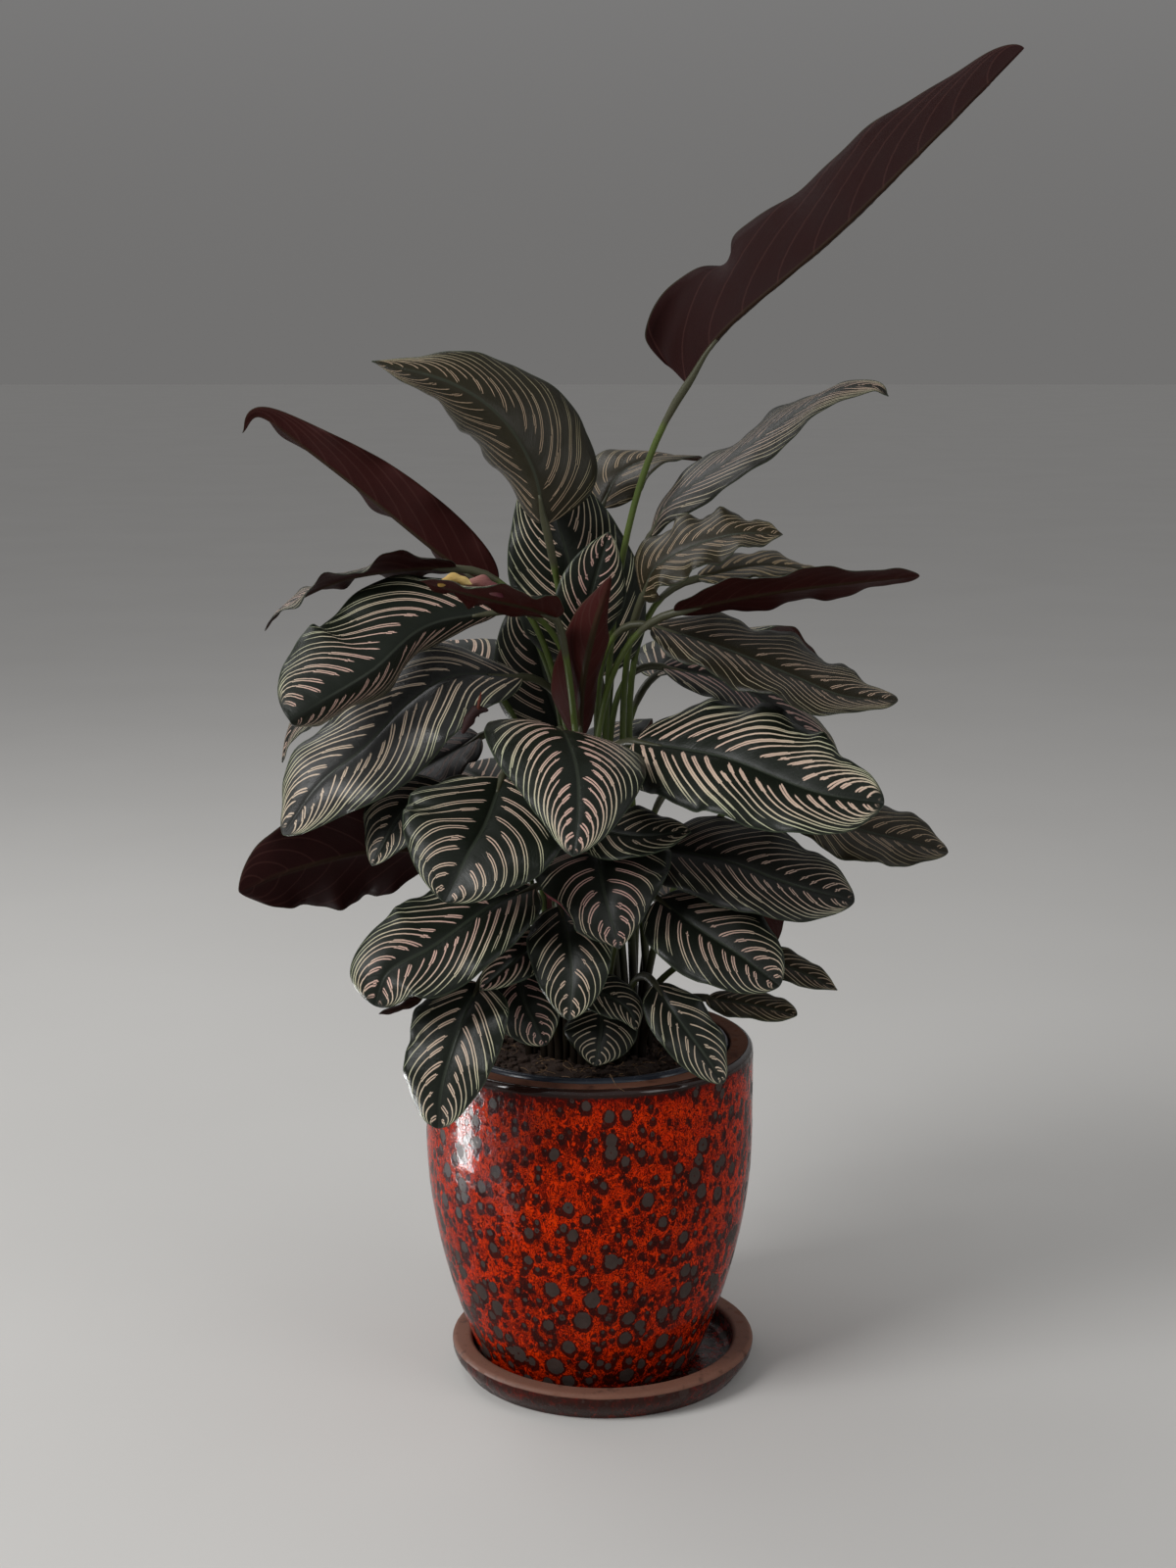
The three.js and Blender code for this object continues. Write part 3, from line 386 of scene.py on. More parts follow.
class Paint:
    """A material or a world, and the one way that nodes are added to it."""

    def __init__(self, name, kind="materials"):
        self.owner = getattr(bpy.data, kind).new(name)
        self.owner.use_nodes = True
        self.tree = self.owner.node_tree
        self.tree.nodes.clear()

    def node(self, kind, settings=None, sockets=None, output=0):
        """Adds a node, with its settings first and then the values or wires of its sockets."""
        node = self.tree.nodes.new(kind)
        for key, value in (settings or {}).items():
            setattr(node, key, value)
        for key, value in (sockets or {}).items():
            socket = node.inputs[key]
            if isinstance(value, Wire):
                self.tree.links.new(value.socket, socket)
            elif isinstance(value, tuple) and len(value) == 3 and socket.type == "RGBA":
                socket.default_value = (*value, 1)
            else:
                socket.default_value = value
        return Wire(self, node.outputs[output])

    def parts(self, vector):
        """The three numbers of a vector or colour."""
        return [self.node("ShaderNodeSeparateXYZ", None, {0: vector}, k) for k in range(3)]

    def attribute(self, name):
        return self.node("ShaderNodeAttribute", {"attribute_name": name}, None, "Vector")

    def vector(self, x, y, z):
        return self.node("ShaderNodeCombineXYZ", None, {0: x, 1: y, 2: z})

    def place(self):
        """A point's own place on the object, in millimetres."""
        spot = self.node("ShaderNodeTexCoord", None, None, "Object")
        return self.scaled(spot, (1 / MM, 1 / MM, 1 / MM))

    def scaled(self, vector, by):
        return self.node("ShaderNodeVectorMath", {"operation": "MULTIPLY"}, {0: vector, 1: by})

    def plus(self, vector, other):
        return self.node("ShaderNodeVectorMath", {"operation": "ADD"}, {0: vector, 1: other})

    def noise(self, vector, size, detail=2.0, roughness=0.5, output="Fac", curl=0.0):
        """Cloudy noise whose lumps are about size across."""
        sockets = {"Vector": vector, "Scale": 1 / size, "Detail": detail, "Roughness": roughness,
                   "Distortion": curl}
        return self.node("ShaderNodeTexNoise", None, sockets, output)

    def cells(self, vector, size, output="Distance"):
        """Cells about size across: how far their middles are, or a colour for each."""
        sockets = {"Vector": vector, "Scale": 1 / size, "Randomness": 0.8}
        return self.node("ShaderNodeTexVoronoi", None, sockets, output)

    def chance(self, x, y, z):
        """Four random numbers that are fixed by three whole ones."""
        settings = {"noise_dimensions": "3D"}
        spot = self.vector(x, y, z)
        colour = self.node("ShaderNodeTexWhiteNoise", settings, {"Vector": spot}, "Color")
        single = self.node("ShaderNodeTexWhiteNoise", settings, {"Vector": spot}, "Value")
        return [*self.parts(colour), single]

    def rise(self, value, low, high):
        """0 below low, 1 above high, and smooth between. low may be above high."""
        settings = {"interpolation_type": "SMOOTHSTEP"}
        sockets = {"Value": value, "From Min": low, "From Max": high}
        return self.node("ShaderNodeMapRange", settings, sockets)

    def blend(self, first, second, share):
        """A colour between two."""
        return self.node("ShaderNodeMix", {"data_type": "RGBA"}, {0: share, 6: first, 7: second}, 2)

    def bump(self, height, depth, strength=1.0, under=None):
        """A bump of a height between 0 and 1 that stands for depth millimetres."""
        sockets = {"Height": height, "Distance": depth * MM, "Strength": strength}
        if under is not None:
            sockets["Normal"] = under
        return self.node("ShaderNodeBump", None, sockets)

    def finish(self, **sockets):
        """Ends the material in one Principled shader. Names are its sockets', in lower case."""
        named = {key.replace("_", " ").title().replace("Ior", "IOR"): value
                 for key, value in sockets.items()}
        shader = self.node("ShaderNodeBsdfPrincipled", None, named)
        return self.end("ShaderNodeOutputMaterial", shader)

    def end(self, kind, shader):
        output = self.tree.nodes.new(kind)
        self.tree.links.new(shader.socket, output.inputs["Surface"])
        return self.owner


# Finishes
# The two bands of fine lines beside each side vein: where they lie between two veins, where they
# start on the way to the margin, and how wide they are
BANDS = (
    {"centre": 0.27, "start": 0.05, "width": 1.0},
    {"centre": 0.70, "start": 0.08, "width": 0.8},
)


def lines(paint, number, band, cell, within, pitch, side, out, streak, bold):
    """A painted band of one to three fine lines that run out to the margin."""
    shift, width, start, end = paint.chance(cell, side * 4, number)
    centre = band["centre"] + (shift - 0.5) * 0.10
    off = (within - centre) * pitch + (streak - 0.5) * 1.2
    begins = band["start"] + start ** 2 * 0.15
    ends = 1.0 - end ** 4 * 0.2
    reach = (pitch * 0.13).do("MINIMUM", 2.6) * (width * 0.4 + 0.75) * band["width"]
    reach = reach * (paint.rise(out - begins, 0, 0.12) * 0.45 + 0.55)
    count = (reach * 0.95 + 0.3).do("ROUND").do("MAXIMUM", 1)
    part = (off / reach + 1) * 0.5 * count
    which = part.do("FLOOR")
    from_middle = abs(part - which - 0.5) * 2 * reach / count
    late = (which * 0.37 + width * 3.1).do("FRACT") * 0.07
    half_line = (0.72 - out * 0.26 + (streak - 0.5) * 0.5) * bold
    half_line = half_line * (paint.rise(out - begins - late, 0, 0.05) * 0.7 + 0.3)
    half_line = half_line * (paint.rise(ends - out, 0, 0.2) * 0.5 + 0.5)
    drawn = paint.rise(from_middle, half_line + 0.12, half_line - 0.18)
    drawn = drawn * paint.rise(abs(off), reach + 0.05, reach)
    return drawn * paint.rise(out - begins - late, 0, 0.012) * paint.rise(ends - out, 0, 0.03)


def leaf_top_finish():
    """Nearly black green with bands of fine pink and cream lines."""
    paint = Paint("leaf_top")
    run, pitch, bold = paint.parts(paint.attribute("veins"))
    along, across, half = paint.parts(paint.attribute("spot"))
    pink, brown, painted_shade_and_sheen = paint.parts(paint.attribute("tint"))
    place = paint.place()
    out = abs(across)
    side = across.do("SIGN")
    cell = run.do("FLOOR")
    within = run - cell
    streak = paint.noise(paint.vector(run * 1.3, out * 2.2, side), 1, 3, 0.6)
    drawn = None
    for number, band in enumerate(BANDS):
        mark = lines(paint, number, band, cell, within, pitch, side, out, streak, bold)
        drawn = mark if drawn is None else drawn.do("MAXIMUM", mark)
    breaks = paint.noise(paint.vector(run * 9, out * 4, side), 1, 3, 0.6)
    drawn = drawn * paint.rise(along, 0.99, 0.95) * paint.rise(breaks, 0.20, 0.33)

    cloud = paint.noise(place, 22, 3, 0.55)
    fine = paint.noise(paint.vector(run * 16, out * 3, side), 1, 4, 0.7)
    painted_sheen = 0 - painted_shade_and_sheen
    green = paint.blend((0.0035, 0.0050, 0.0030), (0.012, 0.016, 0.010), cloud * 0.5 + fine * 0.5)
    # Painted light: brown paints the amber light through a leaf lit from behind, the painted shade
    # darkens the leaf, and below 0 it gives a painted silvery sheen instead.
    green = paint.blend(green, (0.034, 0.024, 0.007), brown * (0.5 + cloud * 0.5))
    green = paint.blend(green, (0.007, 0.004, 0.005), painted_shade_and_sheen * 0.8)
    green = paint.blend(green, (0.052, 0.050, 0.052), painted_sheen * (0.4 + fine * 0.6))
    from_rib = out * half
    from_edge = (1 - out) * half
    rib = paint.rise(from_rib, 1.6, 0.7) * paint.rise(along, 1.0, 0.7)
    green = paint.blend(green, (0.036, 0.044, 0.030), rib * 0.6)
    edge = paint.rise(from_edge, 1.2, 0.5)
    green = paint.blend(green, (0.045, 0.060, 0.034), edge * (1 - painted_shade_and_sheen) * 0.7)

    cream = paint.blend((0.68, 0.58, 0.42), (0.50, 0.52, 0.34), paint.rise(out, 0.5, 1.0))
    blush = paint.rise(out, 0.95, 0.15) * pink * 1.4
    cream = paint.blend(cream, (0.68, 0.42, 0.36), blush.do("MINIMUM", 0.95))
    # The lines take the painted light too: the brown of light through the leaf from behind, and the
    # painted shade.
    cream = paint.blend(cream, (0.30, 0.22, 0.10), brown * 0.9)
    cream = paint.blend(cream, (0.12, 0.080, 0.078), painted_shade_and_sheen * 0.85)
    colour = paint.blend(green, cream, drawn * (0.72 + fine * 0.28))
    roughness = 0.30 + cloud * 0.10 + drawn * 0.15 + painted_shade_and_sheen * 0.12
    relief = paint.bump(fine, 0.35, 0.7)
    return paint.finish(base_color=colour, roughness=roughness, normal=relief,
                        specular_ior_level=0.26)


def leaf_under_finish():
    """Dark maroon with close fine veins, and an olive midrib."""
    paint = Paint("leaf_under")
    run, pitch, _ = paint.parts(paint.attribute("veins"))
    along, across, half = paint.parts(paint.attribute("spot"))
    pink, brown, painted_shade_and_sheen = paint.parts(paint.attribute("tint"))
    place = paint.place()
    out = abs(across)
    cloud = paint.noise(place, 25, 3, 0.55)
    fine = paint.noise(paint.vector(run * 14, out * 2, across.do("SIGN")), 1, 4, 0.7)
    maroon = paint.blend((0.022, 0.005, 0.004), (0.065, 0.014, 0.012), cloud * 0.5 + fine * 0.5)
    flush = paint.rise(pink, 0.6, 1.0) * paint.rise(out, 0.45, 0.95)
    maroon = paint.blend(maroon, (0.30, 0.085, 0.10), flush)
    # Painted light: brown paints the amber light through a leaf lit from behind, and the painted
    # shade darkens the underside.
    maroon = paint.blend(maroon, (0.075, 0.035, 0.016), brown * 0.8)
    maroon = paint.blend(maroon, (0.008, 0.003, 0.003), painted_shade_and_sheen * 0.9)
    vein = paint.rise(abs(run - run.do("ROUND")) * pitch, 0.8, 0.3)
    maroon = paint.blend(maroon, (0.060, 0.024, 0.020), vein * 0.35)
    rib = paint.rise(out * half, 2.6, 1.6) * paint.rise(along, 1.05, 0.6)
    colour = paint.blend(maroon, (0.030, 0.020, 0.010), rib * (1 - painted_shade_and_sheen * 0.6))
    edge = paint.rise((1 - out) * half, 1.2, 0.5)
    colour = paint.blend(colour, (0.050, 0.050, 0.028), edge * 0.35)
    grain = paint.bump(fine, 0.3, 0.6)
    return paint.finish(base_color=colour, roughness=0.46 + cloud * 0.16 + painted_shade_and_sheen * 0.1,
                        normal=grain, specular_ior_level=0.06)


def stalk_finish():
    """Green low on the stalk and olive grey where it thickens below its blade, nearly black near
    the soil, which is partly the stalk's own darker base and partly painted shade.
    """
    paint = Paint("stalk")
    up, _, below = paint.parts(paint.attribute("spot"))
    line = paint.noise(paint.vector(0, up * 0.02, 0), 1, 3, 0.6)
    cloud = paint.noise(paint.place(), 18, 3)
    green = paint.blend((0.040, 0.066, 0.012), (0.095, 0.125, 0.026), line * 0.7 + cloud * 0.3)
    olive = paint.blend((0.034, 0.036, 0.018), (0.070, 0.068, 0.038), line)
    knee = paint.rise(below, STALK["knee_length"] + 5, STALK["knee_length"] - 3)
    colour = paint.blend(green, olive, knee)
    # Nearly black from 140 mm above the soil downwards: partly the stalk's own darker base, partly
    # painted shade among the stalks.
    foot = paint.rise(up, 140, 40) * (0.7 + cloud * 0.6)
    colour = paint.blend(colour, (0.010, 0.005, 0.004), foot.do("MINIMUM", 0.97))
    return paint.finish(base_color=colour, roughness=0.36 + line * 0.2,
                        normal=paint.bump(line, 0.3, 0.6), specular_ior_level=0.3)


# Pools in the glaze: the room that each has, its largest radius, how rare the large ones are, and
# where the pattern starts
POOLS = ((38, 7.5, 0.7, 0), (13, 6.6, 0.9, 30), (8, 2.6, 1.0, 90))


def glazed(paint, place, top, bottom, dim):
    """Orange red glaze with dark marbling and grey brown pools. Gives its colour and its pits."""
    _, _, height = paint.parts(place)
    low = paint.rise(height, top, bottom)
    wobble = paint.noise(place, 4, 2, 0.6, "Color")
    swayed = paint.plus(place, paint.scaled(wobble, (2.6, 2.6, 2.6)))
    tall = paint.scaled(swayed, (1, 1, 0.8))
    vein = paint.noise(paint.scaled(place, (1, 1, 0.65)), 3.2, 3, 0.6, curl=1.3)
    cloud = paint.noise(place, 22, 3, 0.6)
    curls = paint.rise(abs(vein - 0.47), 0.055, 0.028)
    patch = paint.rise(vein + (cloud - 0.5) * 0.40 + dim * 0.05, 0.555, 0.59)
    dark = curls.do("MAXIMUM", patch)
    orange = paint.blend((0.50, 0.008, 0.0002), (0.78, 0.050, 0.0004), paint.noise(place, 7, 3))
    orange = paint.blend(orange, (0.20, 0.005, 0.001), dim * 0.85)
    colour = paint.blend(orange, (0.045, 0.0015, 0.0004), dark * 0.95)

    pools = None
    rings = None
    for size, largest, rare, seed in POOLS:
        moved = paint.plus(tall, (seed, seed * 2, seed * 3))
        reach = paint.cells(moved, size) * size
        chance, other, _ = paint.parts(paint.cells(moved, size, "Color"))
        radius = (chance ** rare * 0.75 + 0.25) * largest * (low * 0.35 + 0.65)
        under = paint.plus(moved, (0, 0, 1.6))
        shadow = paint.cells(under, size) * size
        pool = paint.rise(reach, radius + 0.2, radius - 0.3)
        fringe = radius + 0.6 + vein * 2.2
        ring = paint.rise(shadow, fringe + 0.5, fringe - 0.5)
        dot = paint.rise(reach, 1.2, 0.6) * paint.rise(other, 0.6, 0.65) * 0.7
        pool = pool * (1 - dot)
        pools = pool if pools is None else pools.do("MAXIMUM", pool)
        rings = ring if rings is None else rings.do("MAXIMUM", ring)
    colour = paint.blend(colour, (0.022, 0.004, 0.003), rings * 0.92)
    ash = paint.blend((0.036, 0.024, 0.020), (0.072, 0.052, 0.046), paint.noise(place, 5, 3))
    colour = paint.blend(colour, ash, pools)
    pits = rings * 0.6 + dark * 0.25
    return colour, pools, pits


def pot_finish():
    """The glaze stops at the rim, where the bare clay shows."""
    paint = Paint("pot_glaze")
    place = paint.place()
    _, _, height = paint.parts(place)
    bare, _, _ = paint.parts(paint.attribute("bare"))
    dim, beaded, coated = ([POT_TOP - drop for drop in drops] for drops in POT_BAND.values())
    band = paint.rise(height, *dim)
    colour, pools, pits = glazed(paint, place, POT_TOP - 10, SAUCER["floor"], band)
    wave = paint.noise(place, 12, 2) * 1.6
    bead = paint.rise(height + wave * 0.6, *beaded)
    colour = paint.blend(colour, (0.020, 0.009, 0.007), bead)
    raw = paint.rise(bare + wave * 0.15, 0.5, 0.75)
    grain = paint.noise(place, 1.6, 4, 0.7)
    clay = paint.blend((0.105, 0.042, 0.026), (0.175, 0.080, 0.052), grain)
    stain = paint.rise(paint.noise(place, 14, 3), 0.5, 0.75)
    clay = paint.blend(clay, (0.060, 0.026, 0.018), stain)
    colour = paint.blend(colour, clay, raw)
    roughness = 0.085 + pools * 0.30 + raw * 0.55
    ripple = paint.bump(paint.noise(place, 16, 2), 1.2, 0.35)
    normal = paint.bump(1 - pits * (1 - raw), 0.22, 0.7, ripple)
    normal = paint.bump(grain * raw, 0.15, 0.6, normal)
    corner = paint.rise(height, *coated) * (1 - raw)
    return paint.finish(base_color=colour, roughness=roughness, normal=normal,
                        coat_weight=corner, coat_roughness=0.08, specular_ior_level=0.06)


def saucer_finish():
    """Darker glaze, inside and out, below a broad rim of bare clay."""
    paint = Paint("saucer_glaze")
    place = paint.place()
    x, y, height = paint.parts(place)
    from_axis = (x ** 2 + y ** 2).do("SQRT")
    shade = paint.noise(place, 17, 3)
    outer = paint.rise(from_axis, SAUCER_RADIUS - 14, SAUCER_RADIUS - 10)
    dim = 0.55 + shade * 0.3 + paint.rise(height, 12, 17) * outer * 0.8
    colour, pools, pits = glazed(paint, place, 30, 5, dim.do("MINIMUM", 1.4))
    colour = paint.blend(colour, (0.022, 0.005, 0.003), paint.rise(shade, 0.42, 0.62) * 0.75)
    colour = paint.blend(colour, (0.030, 0.006, 0.003), outer * 0.6)
    top = paint.rise(height + (shade - 0.5) * 1.2, SAUCER_TOP - 3.3, SAUCER_TOP - 2.5)
    grain = paint.noise(place, 1.6, 4, 0.7)
    clay = paint.blend((0.120, 0.052, 0.034), (0.215, 0.102, 0.070), grain * 0.7 + shade * 0.3)
    stain = paint.rise(paint.noise(place, 11, 3, 0.6), 0.56, 0.72)
    clay = paint.blend(clay, (0.070, 0.034, 0.024), stain * 0.8)
    colour = paint.blend(colour, clay, top)
    roughness = 0.10 + pools * 0.25 + top * 0.52
    normal = paint.bump(1 - pits * (1 - top), 0.2, 0.7)
    normal = paint.bump(grain * top, 0.15, 0.6, normal)
    return paint.finish(base_color=colour, roughness=roughness, normal=normal,
                        specular_ior_level=0.2)


def plastic_finish():
    paint = Paint("nursery_plastic")
    place = paint.place()
    scuff = paint.noise(place, 7, 4, 0.7)
    colour = paint.blend((0.012, 0.015, 0.021), (0.035, 0.042, 0.058), scuff)
    return paint.finish(base_color=colour, roughness=0.14 + scuff * 0.2,
                        normal=paint.bump(paint.noise(place, 9, 2), 0.5, 0.3))


def soil_finish():
    paint = Paint("soil")
    place = paint.place()
    crumb = paint.noise(place, 3.2, 5, 0.75)
    broad = paint.noise(place, 17, 3)
    colour = paint.blend((0.007, 0.004, 0.003), (0.060, 0.030, 0.017), crumb * 0.75 + broad * 0.3)
    return paint.finish(base_color=colour, roughness=0.85 + crumb * 0.1,
                        normal=paint.bump(crumb, 2.0, 0.9))


def fibre_finish():
    paint = Paint("fibre")
    shade = paint.noise(paint.place(), 4, 2)
    colour = paint.blend((0.12, 0.060, 0.026), (0.33, 0.20, 0.10), shade)
    return paint.finish(base_color=colour, roughness=0.7 + shade * 0.15)


def scrap_finish():
    """Thin dry leaf, in the colours of the scrap."""
    paint = Paint("dry_leaf")
    place = paint.place()
    grain = paint.noise(paint.scaled(place, (1, 1, 3)), 4, 4, 0.7)
    colour = paint.blend((0.012, 0.005, 0.004), paint.attribute("tint"), grain * 0.6 + 0.55)
    return paint.finish(base_color=colour, roughness=0.5 + grain * 0.2,
                        normal=paint.bump(grain, 0.8, 0.7), specular_ior_level=0.2)


def floor_finish():
    paint = Paint("floor")
    shade = paint.noise(paint.place(), 400, 2)
    colour = paint.blend((0.56, 0.55, 0.53), (0.60, 0.59, 0.57), shade)
    return paint.finish(base_color=colour, roughness=0.8 + shade * 0.1, specular_ior_level=0)


# Meshes
class Form:
    """Points, faces and their places on the baked picture, gathered before they become one mesh."""

    def __init__(self):
        self.points = np.zeros((0, 3))
        self.faces = []
        self.corners = []
        self.slots = []
        self.flat = []
        self.fields = {}

    def add_points(self, points, fields):
        start = len(self.points)
        flat = points.reshape(-1, 3)
        self.points = np.vstack([self.points, flat])
        for name, values in (fields or {}).items():
            kept = self.fields.get(name, np.zeros((0, 3)))
            self.fields[name] = np.vstack([kept, np.reshape(values, (-1, 3))])
        return start

    def add_faces(self, faces, corners, slot=0, flat=False):
        self.faces += faces
        self.corners += corners
        self.slots += [slot] * len(faces)
        self.flat += [flat] * len(faces)

    def net(self, points, patch, slot=0, around=False, flipped=False, down=None, across=None,
            fields=None):
        """A net of points in rows and columns, laid on a patch [u, v, u, v] of the picture.

        down and across are where its rows and columns lie on the patch, from 0 to 1.
        """
        rows, columns = points.shape[:2]
        start = self.add_points(points, fields)
        wide = columns if around else columns - 1
        down = np.linspace(0, 1, rows) if down is None else down
        across = np.linspace(0, 1, wide + 1) if across is None else across
        i, j = np.meshgrid(np.arange(rows - 1), np.arange(wide), indexing="ij")
        order = [(i, j), (i, j + 1), (i + 1, j + 1), (i + 1, j)]
        if flipped:
            order.reverse()
        faces = np.stack([start + a * columns + b % columns for a, b in order], -1)
        spots = [np.stack([patch[0] + (patch[2] - patch[0]) * across[b],
                           patch[1] + (patch[3] - patch[1]) * down[a]], -1) for a, b in order]
        self.add_faces(faces.reshape(-1, 4).tolist(), np.stack(spots, -2).reshape(-1, 2).tolist(),
                       slot)
        return start + np.arange(rows * columns).reshape(rows, columns)

    def wall(self, first, second, places, shift, slot=0):
        """Joins two rows of points that are in the form already by flat faces."""
        for k in range(len(first) - 1):
            face = [first[k], first[k + 1], second[k + 1], second[k]]
            near, far = places[k], places[k + 1]
            corners = [near, far, (far[0] + shift[0], far[1] + shift[1]),
                       (near[0] + shift[0], near[1] + shift[1])]
            self.add_faces([[int(index) for index in face]], corners, slot, flat=True)

    def cap(self, ring, patch, slot=0):
        """Closes a ring of points."""
        turn = [2 * math.pi * k / len(ring) for k in range(len(ring))]
        middle = ((patch[0] + patch[2]) / 2, (patch[1] + patch[3]) / 2)
        size = (patch[2] - patch[0]) / 2
        corners = [(middle[0] + size * math.cos(a), middle[1] + size * math.sin(a)) for a in turn]
        self.add_faces([[int(index) for index in ring]], corners, slot)

    def make(self, name, finishes, crease=None):
        """The form as an object in the scene."""
        mesh = bpy.data.meshes.new(name)
        mesh.from_pydata((self.points * MM).tolist(), [], self.faces)
        places = mesh.uv_layers.new(name="OFBake")
        places.data.foreach_set("uv", np.array(self.corners, np.float32).ravel())
        for field, values in self.fields.items():
            layer = mesh.attributes.new(field, "FLOAT_VECTOR", "POINT")
            layer.data.foreach_set("vector", values.astype(np.float32).ravel())
        for finish in finishes:
            mesh.materials.append(finish)
        mesh.polygons.foreach_set("material_index", self.slots)
        mesh.polygons.foreach_set("use_smooth", [not flat for flat in self.flat])
        if crease is not None:
            mesh.set_sharp_from_angle(angle=math.radians(crease))
        mesh.update()
        piece = bpy.data.objects.new(name, mesh)
        bpy.context.scene.collection.objects.link(piece)
        return piece


def stands_for(piece, node):
    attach(piece, "root")
    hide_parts(node)


def unit(vectors):
    return vectors / np.linalg.norm(vectors, axis=-1, keepdims=True)


def eased(value, low, high):
    share = np.clip((value - low) / (high - low), 0, 1)
    return share * share * (3 - 2 * share)


# Leaves
class Rib:
    """A smooth curve through a midrib's points, followed by its length."""

    def __init__(self, points):
        first = 2 * points[0] - points[1]
        last = 2 * points[-1] - points[-2]
        self.points = np.vstack([first, points, last])
        self.spans = len(points) - 1
        self.shares = np.linspace(0, 1, 201)
        gaps = np.linalg.norm(np.diff(self.at(self.shares), axis=0), axis=1)
        self.lengths = np.concatenate([[0], np.cumsum(gaps)])
        self.length = self.lengths[-1]

    def at(self, share):
        place = np.clip(share, 0, 1) * self.spans
        first = np.minimum(place.astype(int), self.spans - 1)
        w = (place - first)[:, None]
        a, b, c, d = (self.points[first + k] for k in range(4))
        enter = (c - a) / 2
        leave = (d - b) / 2
        cubic = 2 * b - 2 * c + enter + leave
        square = 3 * c - 3 * b - 2 * enter - leave
        return ((cubic * w + square) * w + enter) * w + b

    def share(self, t):
        return np.interp(np.asarray(t) * self.length, self.lengths, self.shares)

    def follow(self, t):
        return self.at(self.share(t))

    def along(self, t):
        share = self.share(t)
        return unit(self.at(share + 1e-3) - self.at(share - 1e-3))


def placed(point):
    """Where a midrib point really is."""
    x, z, y = point
    far = (y - EYE[1]) / -EYE[1]
    return (EYE[0] + (x - EYE[0]) * far, y, EYE[2] + (z - EYE[2]) * far)


def spread(leaf, t):
    """Half the blade's width along the midrib."""
    p, q = leaf.get("shape", SHAPE)
    widest = p / (p + q)
    most = widest ** p * (1 - widest) ** q
    return np.maximum(BLADE["tip"], leaf["half"] * t ** p * (1 - t) ** q / most)


def half_blade(leaf, side, t, v):
    """The slope of half a blade, and its sideways and upward reach as shares of its width."""
    near, far, *share = leaf.get("left" if side < 0 else "right", SLOPE)
    slope = np.tile(near + (far - near) * v, (len(t), 1))
    for folded, at, length, start, angle in leaf.get("folds", ()):
        if folded == side:
            curl = np.clip((v - start) / (1 - start), 0, 1) ** 1.2
            slope = slope + angle * curl * np.exp(-(((t[:, None] - at) / length) ** 2))
    slope = np.radians(slope)
    middle = (slope[:, 1:] + slope[:, :-1]) / 2
    step = np.diff(v) * (share[0] if share else 1)
    edge = np.zeros((len(t), 1))
    out = np.hstack([edge, np.cumsum(np.cos(middle) * step, axis=1)])
    rise = np.hstack([edge, np.cumsum(np.sin(middle) * step, axis=1)])
    slope[:, 0] = 0
    return slope, out, rise


def facing(leaf, rib, t):
    """The way along, across and up from the blade at places along its midrib."""
    along = rib.along(t)
    base, tip = (np.array(face, float) for face in leaf["face"])
    face = base + (tip - base) * t[:, None]
    up = unit(face - along * np.sum(face * along, axis=1, keepdims=True))
    return along, np.cross(along, up), up


def rooted(t, out):
    """Where on the midrib the side vein starts that passes a place.

    A vein from a place s swings out to t = s + sweep (base + middle s) (1 - s).
    """
    sweep = SWEEP["share"] * out ** SWEEP["power"]
    a, b = sweep * SWEEP["base"], sweep * SWEEP["middle"]
    bend = 1 + b - a
    return 2 * (t - a) / (bend + np.sqrt(np.maximum(bend * bend - 4 * b * (t - a), 0)))


def pitch_of(points, run):
    """How many millimetres of the surface one side vein has to itself."""
    down, side = np.gradient(points, axis=0), np.gradient(points, axis=1)
    run_down, run_side = np.gradient(run)
    e = np.sum(down * down, axis=-1)
    f = np.sum(down * side, axis=-1)
    g = np.sum(side * side, axis=-1)
    steep = (g * run_down ** 2 - 2 * f * run_down * run_side + e * run_side ** 2) / (e * g - f * f)
    return 1 / np.sqrt(np.maximum(steep, 1e-6))


